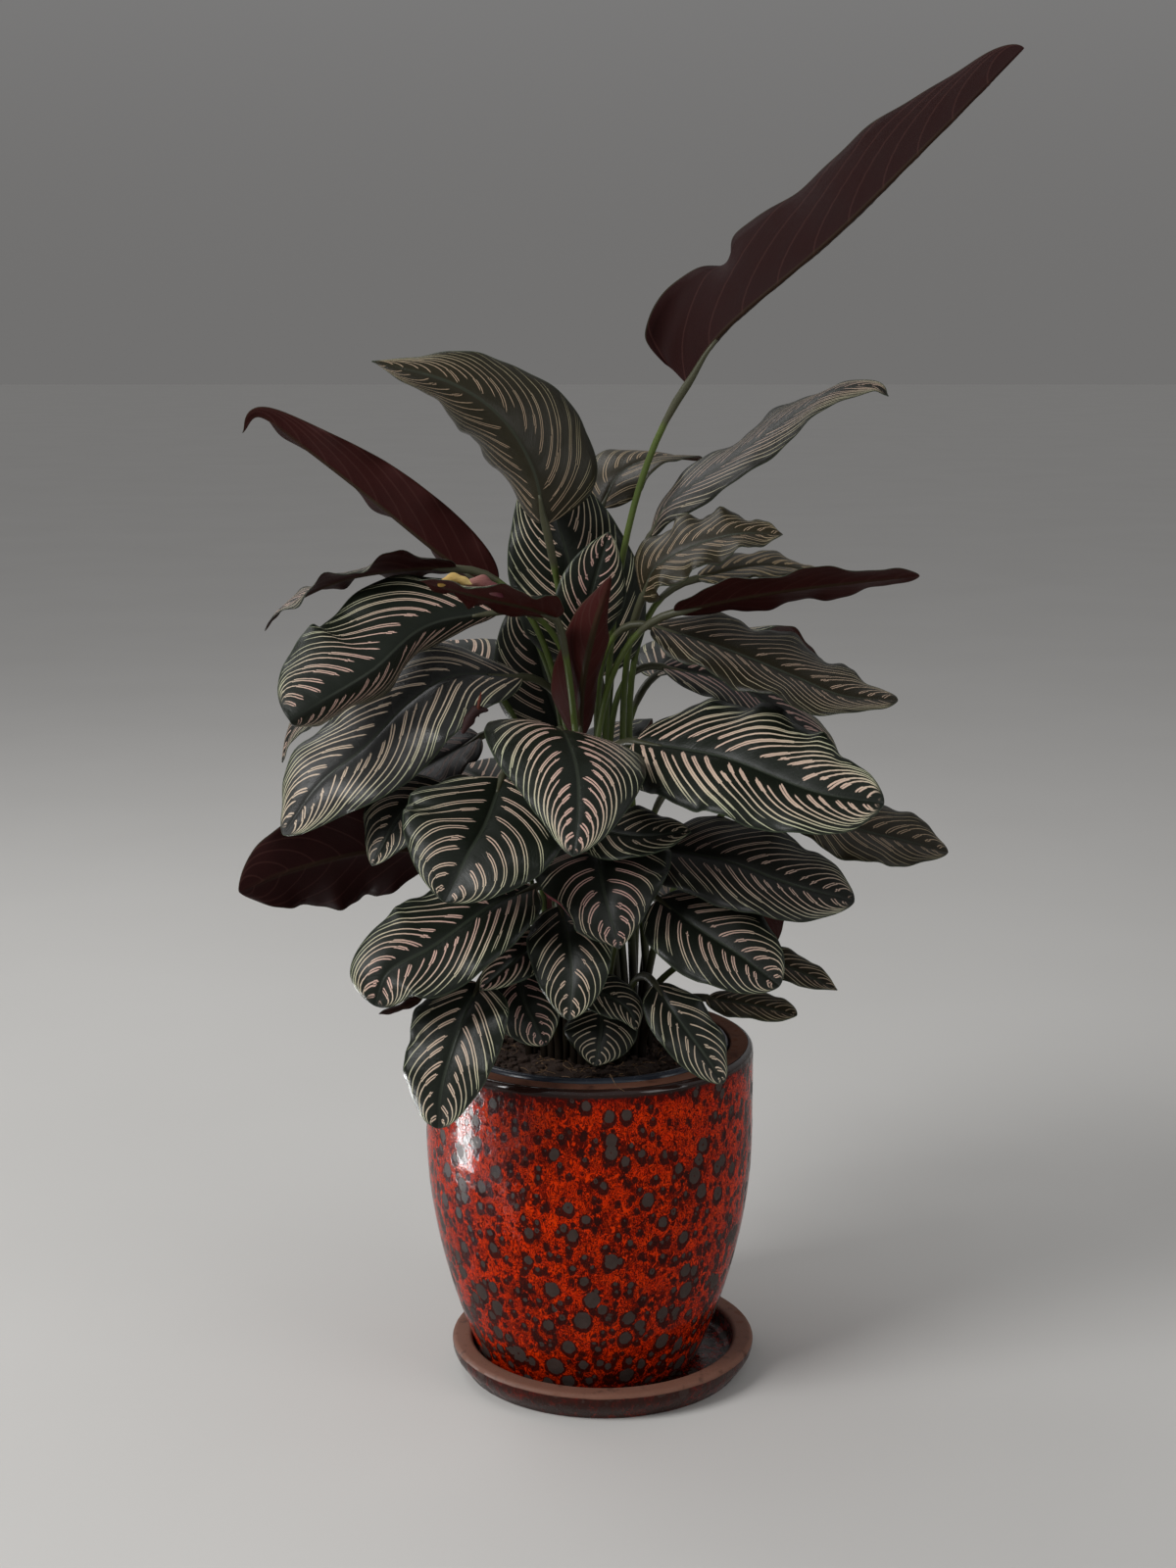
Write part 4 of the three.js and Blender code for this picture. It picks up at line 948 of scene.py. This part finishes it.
def blade(form, leaf, rib, number):
    """Both faces of a leaf, quilted between its side veins, with a thin wall at the margin."""
    rows = int(rib.length / BLADE["row"]) + 12
    t = (1 - np.cos(np.pi * np.linspace(0.01, 0.99, rows))) / 2
    v = np.linspace(0, 1, BLADE["columns"]) ** 1.4
    halves = zip(half_blade(leaf, -1, t, v), half_blade(leaf, 1, t, v))
    slope, out, rise = (np.hstack([left[:, :0:-1], right]) for left, right in halves)
    v = np.concatenate([-v[:0:-1], v])
    side = np.sign(v)
    width = spread(leaf, t)[:, None]
    _, across, up = (each[:, None, :] for each in facing(leaf, rib, t))
    skin = up * np.cos(slope)[..., None] - across * (side * np.sin(slope))[..., None]

    height, count, start = leaf.get("wave", WAVE)
    turn = count * t[:, None] + start + np.where(v < 0, OTHER_SIDE, 0)
    fade = np.sqrt(np.sin(np.pi * t))[:, None]
    ripple = height * v * v * np.sin(2 * np.pi * turn) * fade
    ripple = ripple + 0.22 * height * v ** 4 * np.sin(2 * np.pi * turn * 2.7 + number) * fade
    middle = rib.follow(t)[:, None, :] + across * (side * out * width)[..., None]
    middle = middle + up * (rise * width)[..., None] + skin * ripple[..., None]

    veins = np.clip(rib.length / VEINS["each"], VEINS["fewest"], VEINS["most"])
    run = veins * rooted(t[:, None], np.abs(v)) + np.where(v < 0, OTHER_SIDE, 0)
    run = run + 40 * number + 10
    pitch = pitch_of(middle, run)
    from_rib = np.abs(v) * width
    quilt = np.abs(np.sin(np.pi * run)) ** 0.6 - 0.5
    quilt = quilt * np.minimum(RELIEF["quilt"], pitch * 0.045) * eased(from_rib, 1, 8)
    quilt = quilt * eased(1 - np.abs(v), 0, 0.12)
    middle = middle + skin * quilt[..., None]

    thin = BLADE["edge"] + (BLADE["thick"] - BLADE["edge"]) * eased(1 - np.abs(v), 0, 0.2)
    channel = np.exp(-((from_rib / RELIEF["channel_width"]) ** 2)) * (1 - 0.6 * t[:, None])
    ridge = np.exp(-((from_rib / RELIEF["ridge_width"]) ** 2)) * (1 - 0.8 * t[:, None])
    narrow = np.minimum(1, width / 8)
    top = middle + skin * (thin / 2 - RELIEF["channel"] * channel * narrow)[..., None]
    under = middle - skin * (thin / 2 + RELIEF["ridge"] * ridge * narrow)[..., None]

    shape = top.shape[:2]
    fields = {
        "veins": np.dstack([run, pitch, np.full(shape, leaf.get("bold", 1.0))]),
        "spot": np.dstack([np.tile(t[:, None], (1, shape[1])), np.tile(v, (shape[0], 1)),
                           np.tile(width, (1, shape[1]))]),
        "tint": np.tile(tint(leaf), (*shape, 1)),
    }
    across_patch = (v + 1) / 2
    upper = form.net(top, TOP_PATCH, 0, down=t, across=across_patch, fields=fields)
    lower = form.net(under, UNDER_PATCH, 1, flipped=True, down=t, across=across_patch,
                     fields=fields)
    left = [(TOP_PATCH[0], TOP_PATCH[1] + (TOP_PATCH[3] - TOP_PATCH[1]) * share) for share in t]
    right = [(TOP_PATCH[2], place[1]) for place in left]
    base = [(TOP_PATCH[0] + (TOP_PATCH[2] - TOP_PATCH[0]) * share, TOP_PATCH[1])
            for share in across_patch]
    tip = [(place[0], TOP_PATCH[3]) for place in base]
    form.wall(upper[:, 0], lower[:, 0], left, (-MARGIN, 0))
    form.wall(upper[::-1, -1], lower[::-1, -1], right[::-1], (MARGIN, 0))
    form.wall(upper[0, ::-1], lower[0, ::-1], base[::-1], (0, -MARGIN))
    form.wall(upper[-1], lower[-1], tip, (0, MARGIN))


def tint(leaf):
    return [leaf.get("pink", 0.4), leaf.get("brown", 0), leaf.get("painted_shade_and_sheen", 0)]


def stalk(form, leaf, rib, foot):
    """A stalk out of the soil, thicker below the blade, that runs on under it as the midrib."""
    base = rib.follow([0.0])[0]
    start = np.array([foot[0], foot[1], SOIL["top"] + STALK["straight"]])
    span = np.linalg.norm(base - start)
    _, _, up = facing(leaf, rib, np.array([0.0]))
    pull = rib.along([0.0])[0] * span * leaf.get("bend", STALK["bend"])
    lift = np.array([0, 0, span * STALK["rise"]])
    w = np.linspace(0, 1, STALK["steps"])[:, None]
    path = (1 - w) ** 3 * start + 3 * (1 - w) ** 2 * w * (start + lift)
    path = path + 3 * (1 - w) * w ** 2 * (base - pull) + w ** 3 * base
    buried = np.array([[foot[0], foot[1], foot[2]]])
    sunk = np.linspace(0, STALK["sunk"], 6)[1:]
    under = rib.follow(sunk) - up * 0.6
    path = np.vstack([buried, path, under])
    gaps = np.linalg.norm(np.diff(path, axis=0), axis=1)
    run = np.concatenate([[0], np.cumsum(gaps)])
    above = run - (SOIL["top"] - foot[2])
    neck = run[STALK["steps"]]
    below = neck - run
    knee = eased(below, STALK["knee_length"], STALK["knee_length"] - 7)
    sheath = eased(above, 0.5 * neck, 0.1 * neck)
    radius = STALK["radius"] + (STALK["knee"] - STALK["radius"]) * knee
    radius = radius + (STALK["sheath"] - STALK["radius"]) * sheath * (1 - knee)
    radius[-len(sunk):] = np.linspace(STALK["knee"] * 0.85, STALK["vein"], len(sunk))
    ways = unit(np.gradient(path, axis=0))
    side = np.array([1.0, 0, 0])
    turn = np.linspace(0, 2 * np.pi, STALK["sides"], endpoint=False)
    rings = []
    for centre, way, reach in zip(path, ways, radius):
        side = unit(side - way * side.dot(way))
        over = np.cross(way, side)
        rings.append(centre + reach * (np.cos(turn)[:, None] * side + np.sin(turn)[:, None] * over))
    rings = np.array(rings)
    shape = rings.shape[:2]
    fields = {
        "veins": np.zeros((*shape, 3)),
        "spot": np.dstack([np.tile(above[:, None], (1, shape[1])), np.zeros(shape),
                           np.tile(below[:, None], (1, shape[1]))]),
        "tint": np.tile(tint(leaf), (*shape, 1)),
    }
    net = form.net(rings, STALK_PATCH, 2, around=True, down=run / run[-1], fields=fields)
    form.cap(net[0, ::-1], FOOT_PATCH, 2)
    form.cap(net[-1], END_PATCH, 2)


def leaf_foot(node):
    """Where a leaf's stalk stands in the soil, from its node."""
    points = np.empty(len(node.data.vertices) * 3)
    node.data.vertices.foreach_get("co", points)
    points = points.reshape(-1, 3) / MM
    lowest = points[:, 2].min()
    return points[points[:, 2] < lowest + 1].mean(axis=0)


def add_leaves(finishes):
    for number, leaf in enumerate(LEAVES):
        node = f"leaf_{leaf['name']}"
        rib = Rib(np.array([placed(point) for point in leaf["rib"]]))
        form = Form()
        blade(form, leaf, rib, number)
        stalk(form, leaf, rib, leaf_foot(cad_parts[node]))
        stands_for(form.make(f"{leaf['name']}_leaf", finishes), node)


# Round pieces
def turned(outline, x=0, raw=()):
    """A form turned about an upright axis from an outline of [radius, height] points.

    raw is the last stretch of the outline, which the glaze leaves bare.
    """
    bare = [0] * len(outline) + [1] * len(raw)
    outline = np.array([*outline, *raw], float)
    turn = np.linspace(0, 2 * np.pi, AROUND, endpoint=False)
    radius, height = outline[:, :1], outline[:, 1:]
    points = np.dstack([radius * np.cos(turn) + x, radius * np.sin(turn),
                        np.tile(height, (1, AROUND))])
    gaps = np.linalg.norm(np.diff(outline, axis=0), axis=1)
    run = np.concatenate([[0], np.cumsum(gaps)])
    bare = np.array(bare, float)[:, None, None] * np.ones((1, AROUND, 3))
    form = Form()
    form.net(points, WHOLE_PATCH, around=True, down=run / run[-1], fields={"bare": bare})
    return form


def arc(radius, height, reach, start, end, steps):
    turn = np.radians(np.linspace(start, end, steps + 1))
    return [(radius + reach * math.cos(a), height + reach * math.sin(a)) for a in turn]


def add_saucer(finish):
    edge, hollow, floor = SAUCER["edge"], SAUCER["hollow"], SAUCER["floor"]
    inner = SAUCER_RADIUS - SAUCER["rim"]
    form = turned([
        (0.01, 0),
        (SAUCER["foot"] - 3, 0),
        *arc(SAUCER["foot"] - 2, 2, 2, -90, -20, 4),
        *[(SAUCER["foot"] + (SAUCER_RADIUS - SAUCER["foot"]) * math.sin(math.radians(k * 15)),
           2 + (SAUCER_TOP - edge - 3) * k / 6) for k in range(1, 6)],
        *arc(SAUCER_RADIUS - edge, SAUCER_TOP - edge, edge, 0, 90, 8),
        *arc(inner + edge, SAUCER_TOP - edge, edge, 90, 180, 8),
        *arc(inner - hollow, floor + hollow, hollow, 0, -90, 8),
        (60, floor),
        (0.01, floor),
    ])
    stands_for(form.make("saucer_glazed", [finish], crease=50), "saucer")


def pot_radius(rise):
    below = max(0, POT["belly_rise"] - rise) / POT["belly_rise"]
    return POT_RADIUS - (POT_RADIUS - POT["foot"]) * below ** POT["bulge"]


def pot_side(low, high, steps, inset):
    rises = np.linspace(low, high, steps + 1)
    return [(pot_radius(rise) - inset, rise) for rise in rises]


def add_pot(finish):
    height = POT_TOP - POT_BASE
    edge = POT_RIM["edge"]
    foot, ring, recess = POT["foot"], POT_FOOT["ring"], POT_FOOT["recess"]
    drain, base = POT_FOOT["drain"], POT_FOOT["base"]
    mouth = POT_RADIUS - POT_RIM["width"]
    outer = [
        (drain, recess),
        (foot - ring, recess),
        (foot - ring + 2, 0),
        (foot - POT_FOOT["corner"], 0),
        *pot_side(POT_FOOT["corner"], height - edge - 6, 40, 0),
        *arc(POT_RADIUS - edge, height - edge, edge, 0, 75, 7),
    ]
    raw = [
        (POT_RADIUS - edge + 0.3, height),
        (POT_RADIUS - edge - 1, height),
        (mouth + 2, height),
        *arc(mouth + 1.5, height - 1.5, 1.5, 90, 180, 3),
        (mouth, height - POT_RIM["depth"]),
        *reversed(pot_side(base, height - 30, 12, POT["wall"])),
        (drain, base),
        (drain, recess),
    ]
    outer, raw = ([(radius, rise + POT_BASE) for radius, rise in part] for part in (outer, raw))
    form = turned(outer, POT_X, raw)
    stands_for(form.make("pot_glazed", [finish], crease=50), "pot")


def add_nursery_pot(finish):
    lip, low, top = LIP_RADIUS, nursery_low.z, nursery_high.z
    bead = NURSERY["lip_width"] / 2
    under = top - NURSERY["lip_depth"]
    wall, foot = NURSERY["wall"], NURSERY["foot"]
    form = turned([
        (0.01, low),
        (foot, low),
        (lip - 2 * bead + wall, under),
        (lip, under),
        *arc(lip - bead, top - bead, bead, 0, 180, 12),
        (lip - 2 * bead, under),
        (foot - wall, low + NURSERY["floor"]),
        (0.01, low + NURSERY["floor"]),
    ], POT_X)
    stands_for(form.make("nursery_pot_lipped", [finish], crease=50), "nursery_pot")


def soil_height(x, y):
    broad = math.sin(0.11 * x + 1) * math.cos(0.13 * y)
    fine = 0.5 * math.sin(0.31 * x - 0.27 * y)
    crumb = noise.fractal(Vector((x, y, 0)) / 7, 0.8, 2.1, 4)
    return SOIL["top"] + SOIL["bump"] * (broad + fine) + SOIL["crumb"] * crumb


def add_soil(finish):
    low, high = node_box("soil")
    edge = (high.x - low.x) / 2
    rings = np.linspace(edge, 0.01, SOIL["rings"])
    turn = np.linspace(0, 2 * np.pi, AROUND, endpoint=False)
    wall = [[(POT_X + radius * math.cos(a), radius * math.sin(a), height) for a in turn]
            for radius, height in ((0.01, low.z), (edge * 0.72, low.z))]
    surface = [[(POT_X + radius * math.cos(a), radius * math.sin(a),
                 soil_height(radius * math.cos(a), radius * math.sin(a))) for a in turn]
               for radius in rings]
    form = Form()
    form.net(np.array(wall + surface), WHOLE_PATCH, around=True)
    stands_for(form.make("soil_top", [finish], crease=60), "soil")


def on_soil(rng, reach):
    """A chance place on the soil."""
    radius, turn = reach * math.sqrt(rng.random()), rng.random() * 2 * math.pi
    x, y = radius * math.cos(turn), radius * math.sin(turn)
    return x + POT_X, y, soil_height(x, y)


def add_crumbs(finish):
    """Lumps of soil and bits of bark that lie on it."""
    rng = random.Random(SEED)
    form = Form()
    sides, levels = CRUMBS["sides"], CRUMBS["levels"]
    for _ in range(CRUMBS["count"]):
        x, y, z = on_soil(rng, CRUMBS["reach"])
        size = CRUMBS["least"] + CRUMBS["more"] * rng.random() ** CRUMBS["rare"]
        stretch = rng.uniform(0.7, 1.6)
        spin = rng.uniform(0, math.pi)
        rings = []
        for level in range(levels):
            tilt = math.pi * (level + 0.02) / (levels - 1 + 0.04)
            ring = []
            for k in range(sides):
                a = 2 * math.pi * k / sides
                reach = size * rng.uniform(0.75, 1.2)
                dx = reach * stretch * math.sin(tilt) * math.cos(a)
                dy = reach * math.sin(tilt) * math.sin(a)
                ring.append((x + dx * math.cos(spin) - dy * math.sin(spin),
                             y + dx * math.sin(spin) + dy * math.cos(spin),
                             z + size * 0.35 - reach * 0.7 * math.cos(tilt)))
            rings.append(ring)
        form.net(np.array(rings), WHOLE_PATCH, around=True)
    piece = form.make("soil_crumbs", [finish], crease=40)
    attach(piece, "root")


def thread(form, points, radius, sides=4):
    """A thin round strand through points."""
    path = Rib(np.array(points, float))
    t = np.linspace(0, 1, max(4, int(path.length / 3)))
    ways = path.along(t)
    side = np.array([0.3, 0.2, 1.0])
    turn = np.linspace(0, 2 * np.pi, sides, endpoint=False)
    rings = []
    for share, centre, way in zip(t, path.follow(t), ways):
        side = unit(side - way * side.dot(way))
        over = np.cross(way, side)
        reach = radius * (1 - 0.7 * share)
        rings.append(centre + reach * (np.cos(turn)[:, None] * side + np.sin(turn)[:, None] * over))
    form.net(np.array(rings), WHOLE_PATCH, around=True)


def add_fibres(finish):
    """Rootlets on the soil, and one pale one that hangs over the rim."""
    rng = random.Random(SEED + 1)
    form = Form()
    for _ in range(FIBRES["count"]):
        x, y, z = on_soil(rng, FIBRES["reach"])
        turn = rng.uniform(0, 2 * math.pi)
        points = [(x, y, z + 0.3)]
        for _ in range(FIBRES["bends"]):
            turn += rng.uniform(-0.9, 0.9)
            x += FIBRES["step"] * math.cos(turn)
            y += FIBRES["step"] * math.sin(turn)
            points.append((x, y, soil_height(x - POT_X, y) + rng.uniform(0.3, 1.8)))
        thread(form, points, rng.uniform(0.18, 0.4))
    hair = [(6, -88, SOIL["top"] + 2), (4, -97, POT_TOP + 4), (5, -103, POT_TOP + 5),
            (8, -108, POT_TOP + 0.6), (10, -114, POT_TOP + 0.5), (14, -117.5, POT_TOP - 1)]
    thread(form, hair, 0.35)
    piece = form.make("soil_fibres", [finish])
    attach(piece, "root")


def add_scraps(finish):
    """Strips of leaf rolled towards the viewer, narrow at both ends."""
    t = np.linspace(0, 1, 30)
    bow = np.linspace(-0.5, 0.5, 13)
    for number, scrap in enumerate(SCRAPS):
        rib = Rib(np.array([placed(point) for point in scrap["line"]]))
        ways = rib.along(t)
        out = unit(np.array([0, -1.0, 0]) - ways * -ways[:, 1:2])
        side = np.cross(ways, out)
        roll = math.radians(scrap["roll"])
        width = scrap["width"] * (0.15 + 0.85 * np.sin(np.pi * t) ** 0.6)
        width = width * (1 + 0.16 * np.sin(17 * t + number))
        turn = bow * roll
        reach = (width / roll)[:, None, None]
        sheet = rib.follow(t)[:, None, :] + reach * (
            np.sin(turn)[None, :, None] * side[:, None, :]
            + (np.cos(turn) - 1)[None, :, None] * out[:, None, :])
        first, last = (np.array(colour) for colour in scrap["colours"])
        tints = first + (last - first) * t[:, None]
        fields = {"tint": np.tile(tints[:, None, :], (1, len(bow), 1))}
        form = Form()
        form.net(sheet, WHOLE_PATCH, fields=fields)
        back = sheet - BLADE["edge"] * out[:, None, :]
        form.net(back, WHOLE_PATCH, flipped=True, fields=fields)
        piece = form.make(scrap["name"], [finish])
        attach(piece, "root")


# Floor, lights and camera
MIDDLE = (0, 0, 0.4)
# Each light's name, place, target and size in metres, its power, and if it shows in gloss alone
LIGHTS = (
    ("window_left", (-2.3, -1.6, 2.4), MIDDLE, (1.5, 1.5), 85),
    ("window_low", (-0.49, -0.03, 0.07), (-0.1, -0.07, 0.17), (0.12, 0.09), 3.2, True),
    ("fill_right", (2.2, -1.6, 1.4), MIDDLE, (1.5, 1.5), 14),
    ("above_back", (-1.1, 1.1, 2.1), MIDDLE, (1.2, 1.2), 12),
)


def add_floor(finish):
    form = Form()
    corner = np.array([[(x * FLOOR, y * FLOOR, 0) for x in (-1, 1)] for y in (-1, 1)], float)
    form.net(corner, WHOLE_PATCH)
    floor = form.make("floor", [finish])


def add_light(name, place, target, size, power, gloss_only=False):
    """A soft square light at a place, turned to a target, both in metres."""
    lamp = bpy.data.lights.new(name, "AREA")
    lamp.shape = "RECTANGLE"
    lamp.size, lamp.size_y = size
    lamp.energy = power
    light = bpy.data.objects.new(name, lamp)
    light.location = place
    way = Vector(target) - Vector(place)
    light.rotation_euler = way.to_track_quat("-Z", "Y").to_euler()
    light.visible_camera = False
    light.visible_diffuse = not gloss_only
    bpy.context.scene.collection.objects.link(light)


def add_world(low, high):
    """A plain studio, as bright as the far floor at the horizon and brighter above it."""
    paint = Paint("studio", "worlds")
    _, _, up = paint.parts(paint.node("ShaderNodeTexCoord", None, None, "Generated"))
    colour = paint.blend(low, high, paint.rise(up, 0.0, 0.5))
    sky = paint.node("ShaderNodeBackground", None, {"Color": colour})
    bpy.context.scene.world = paint.end("ShaderNodeOutputWorld", sky)


def add_camera():
    lens = bpy.data.cameras.new("camera")
    lens.sensor_fit = "VERTICAL"
    lens.sensor_height = FILM
    lens.lens = LENS
    lens.clip_start = 0.05
    lens.clip_end = 60
    camera = bpy.data.objects.new("camera", lens)
    camera.location = Vector(EYE) * MM
    camera.rotation_euler = (math.radians(90 - LOOK_DOWN), 0, 0)
    bpy.context.scene.collection.objects.link(camera)
    bpy.context.scene.camera = camera


add_leaves([leaf_top_finish(), leaf_under_finish(), stalk_finish()])
add_saucer(saucer_finish())
add_pot(pot_finish())
add_nursery_pot(plastic_finish())
earth = soil_finish()
add_soil(earth)
add_crumbs(earth)
add_fibres(fibre_finish())
add_scraps(scrap_finish())
add_floor(floor_finish())
for light in LIGHTS:
    add_light(*light)
add_world((0.165, 0.162, 0.159), (0.32, 0.32, 0.325))
bpy.context.scene.view_settings.view_transform = "Standard"
add_camera()
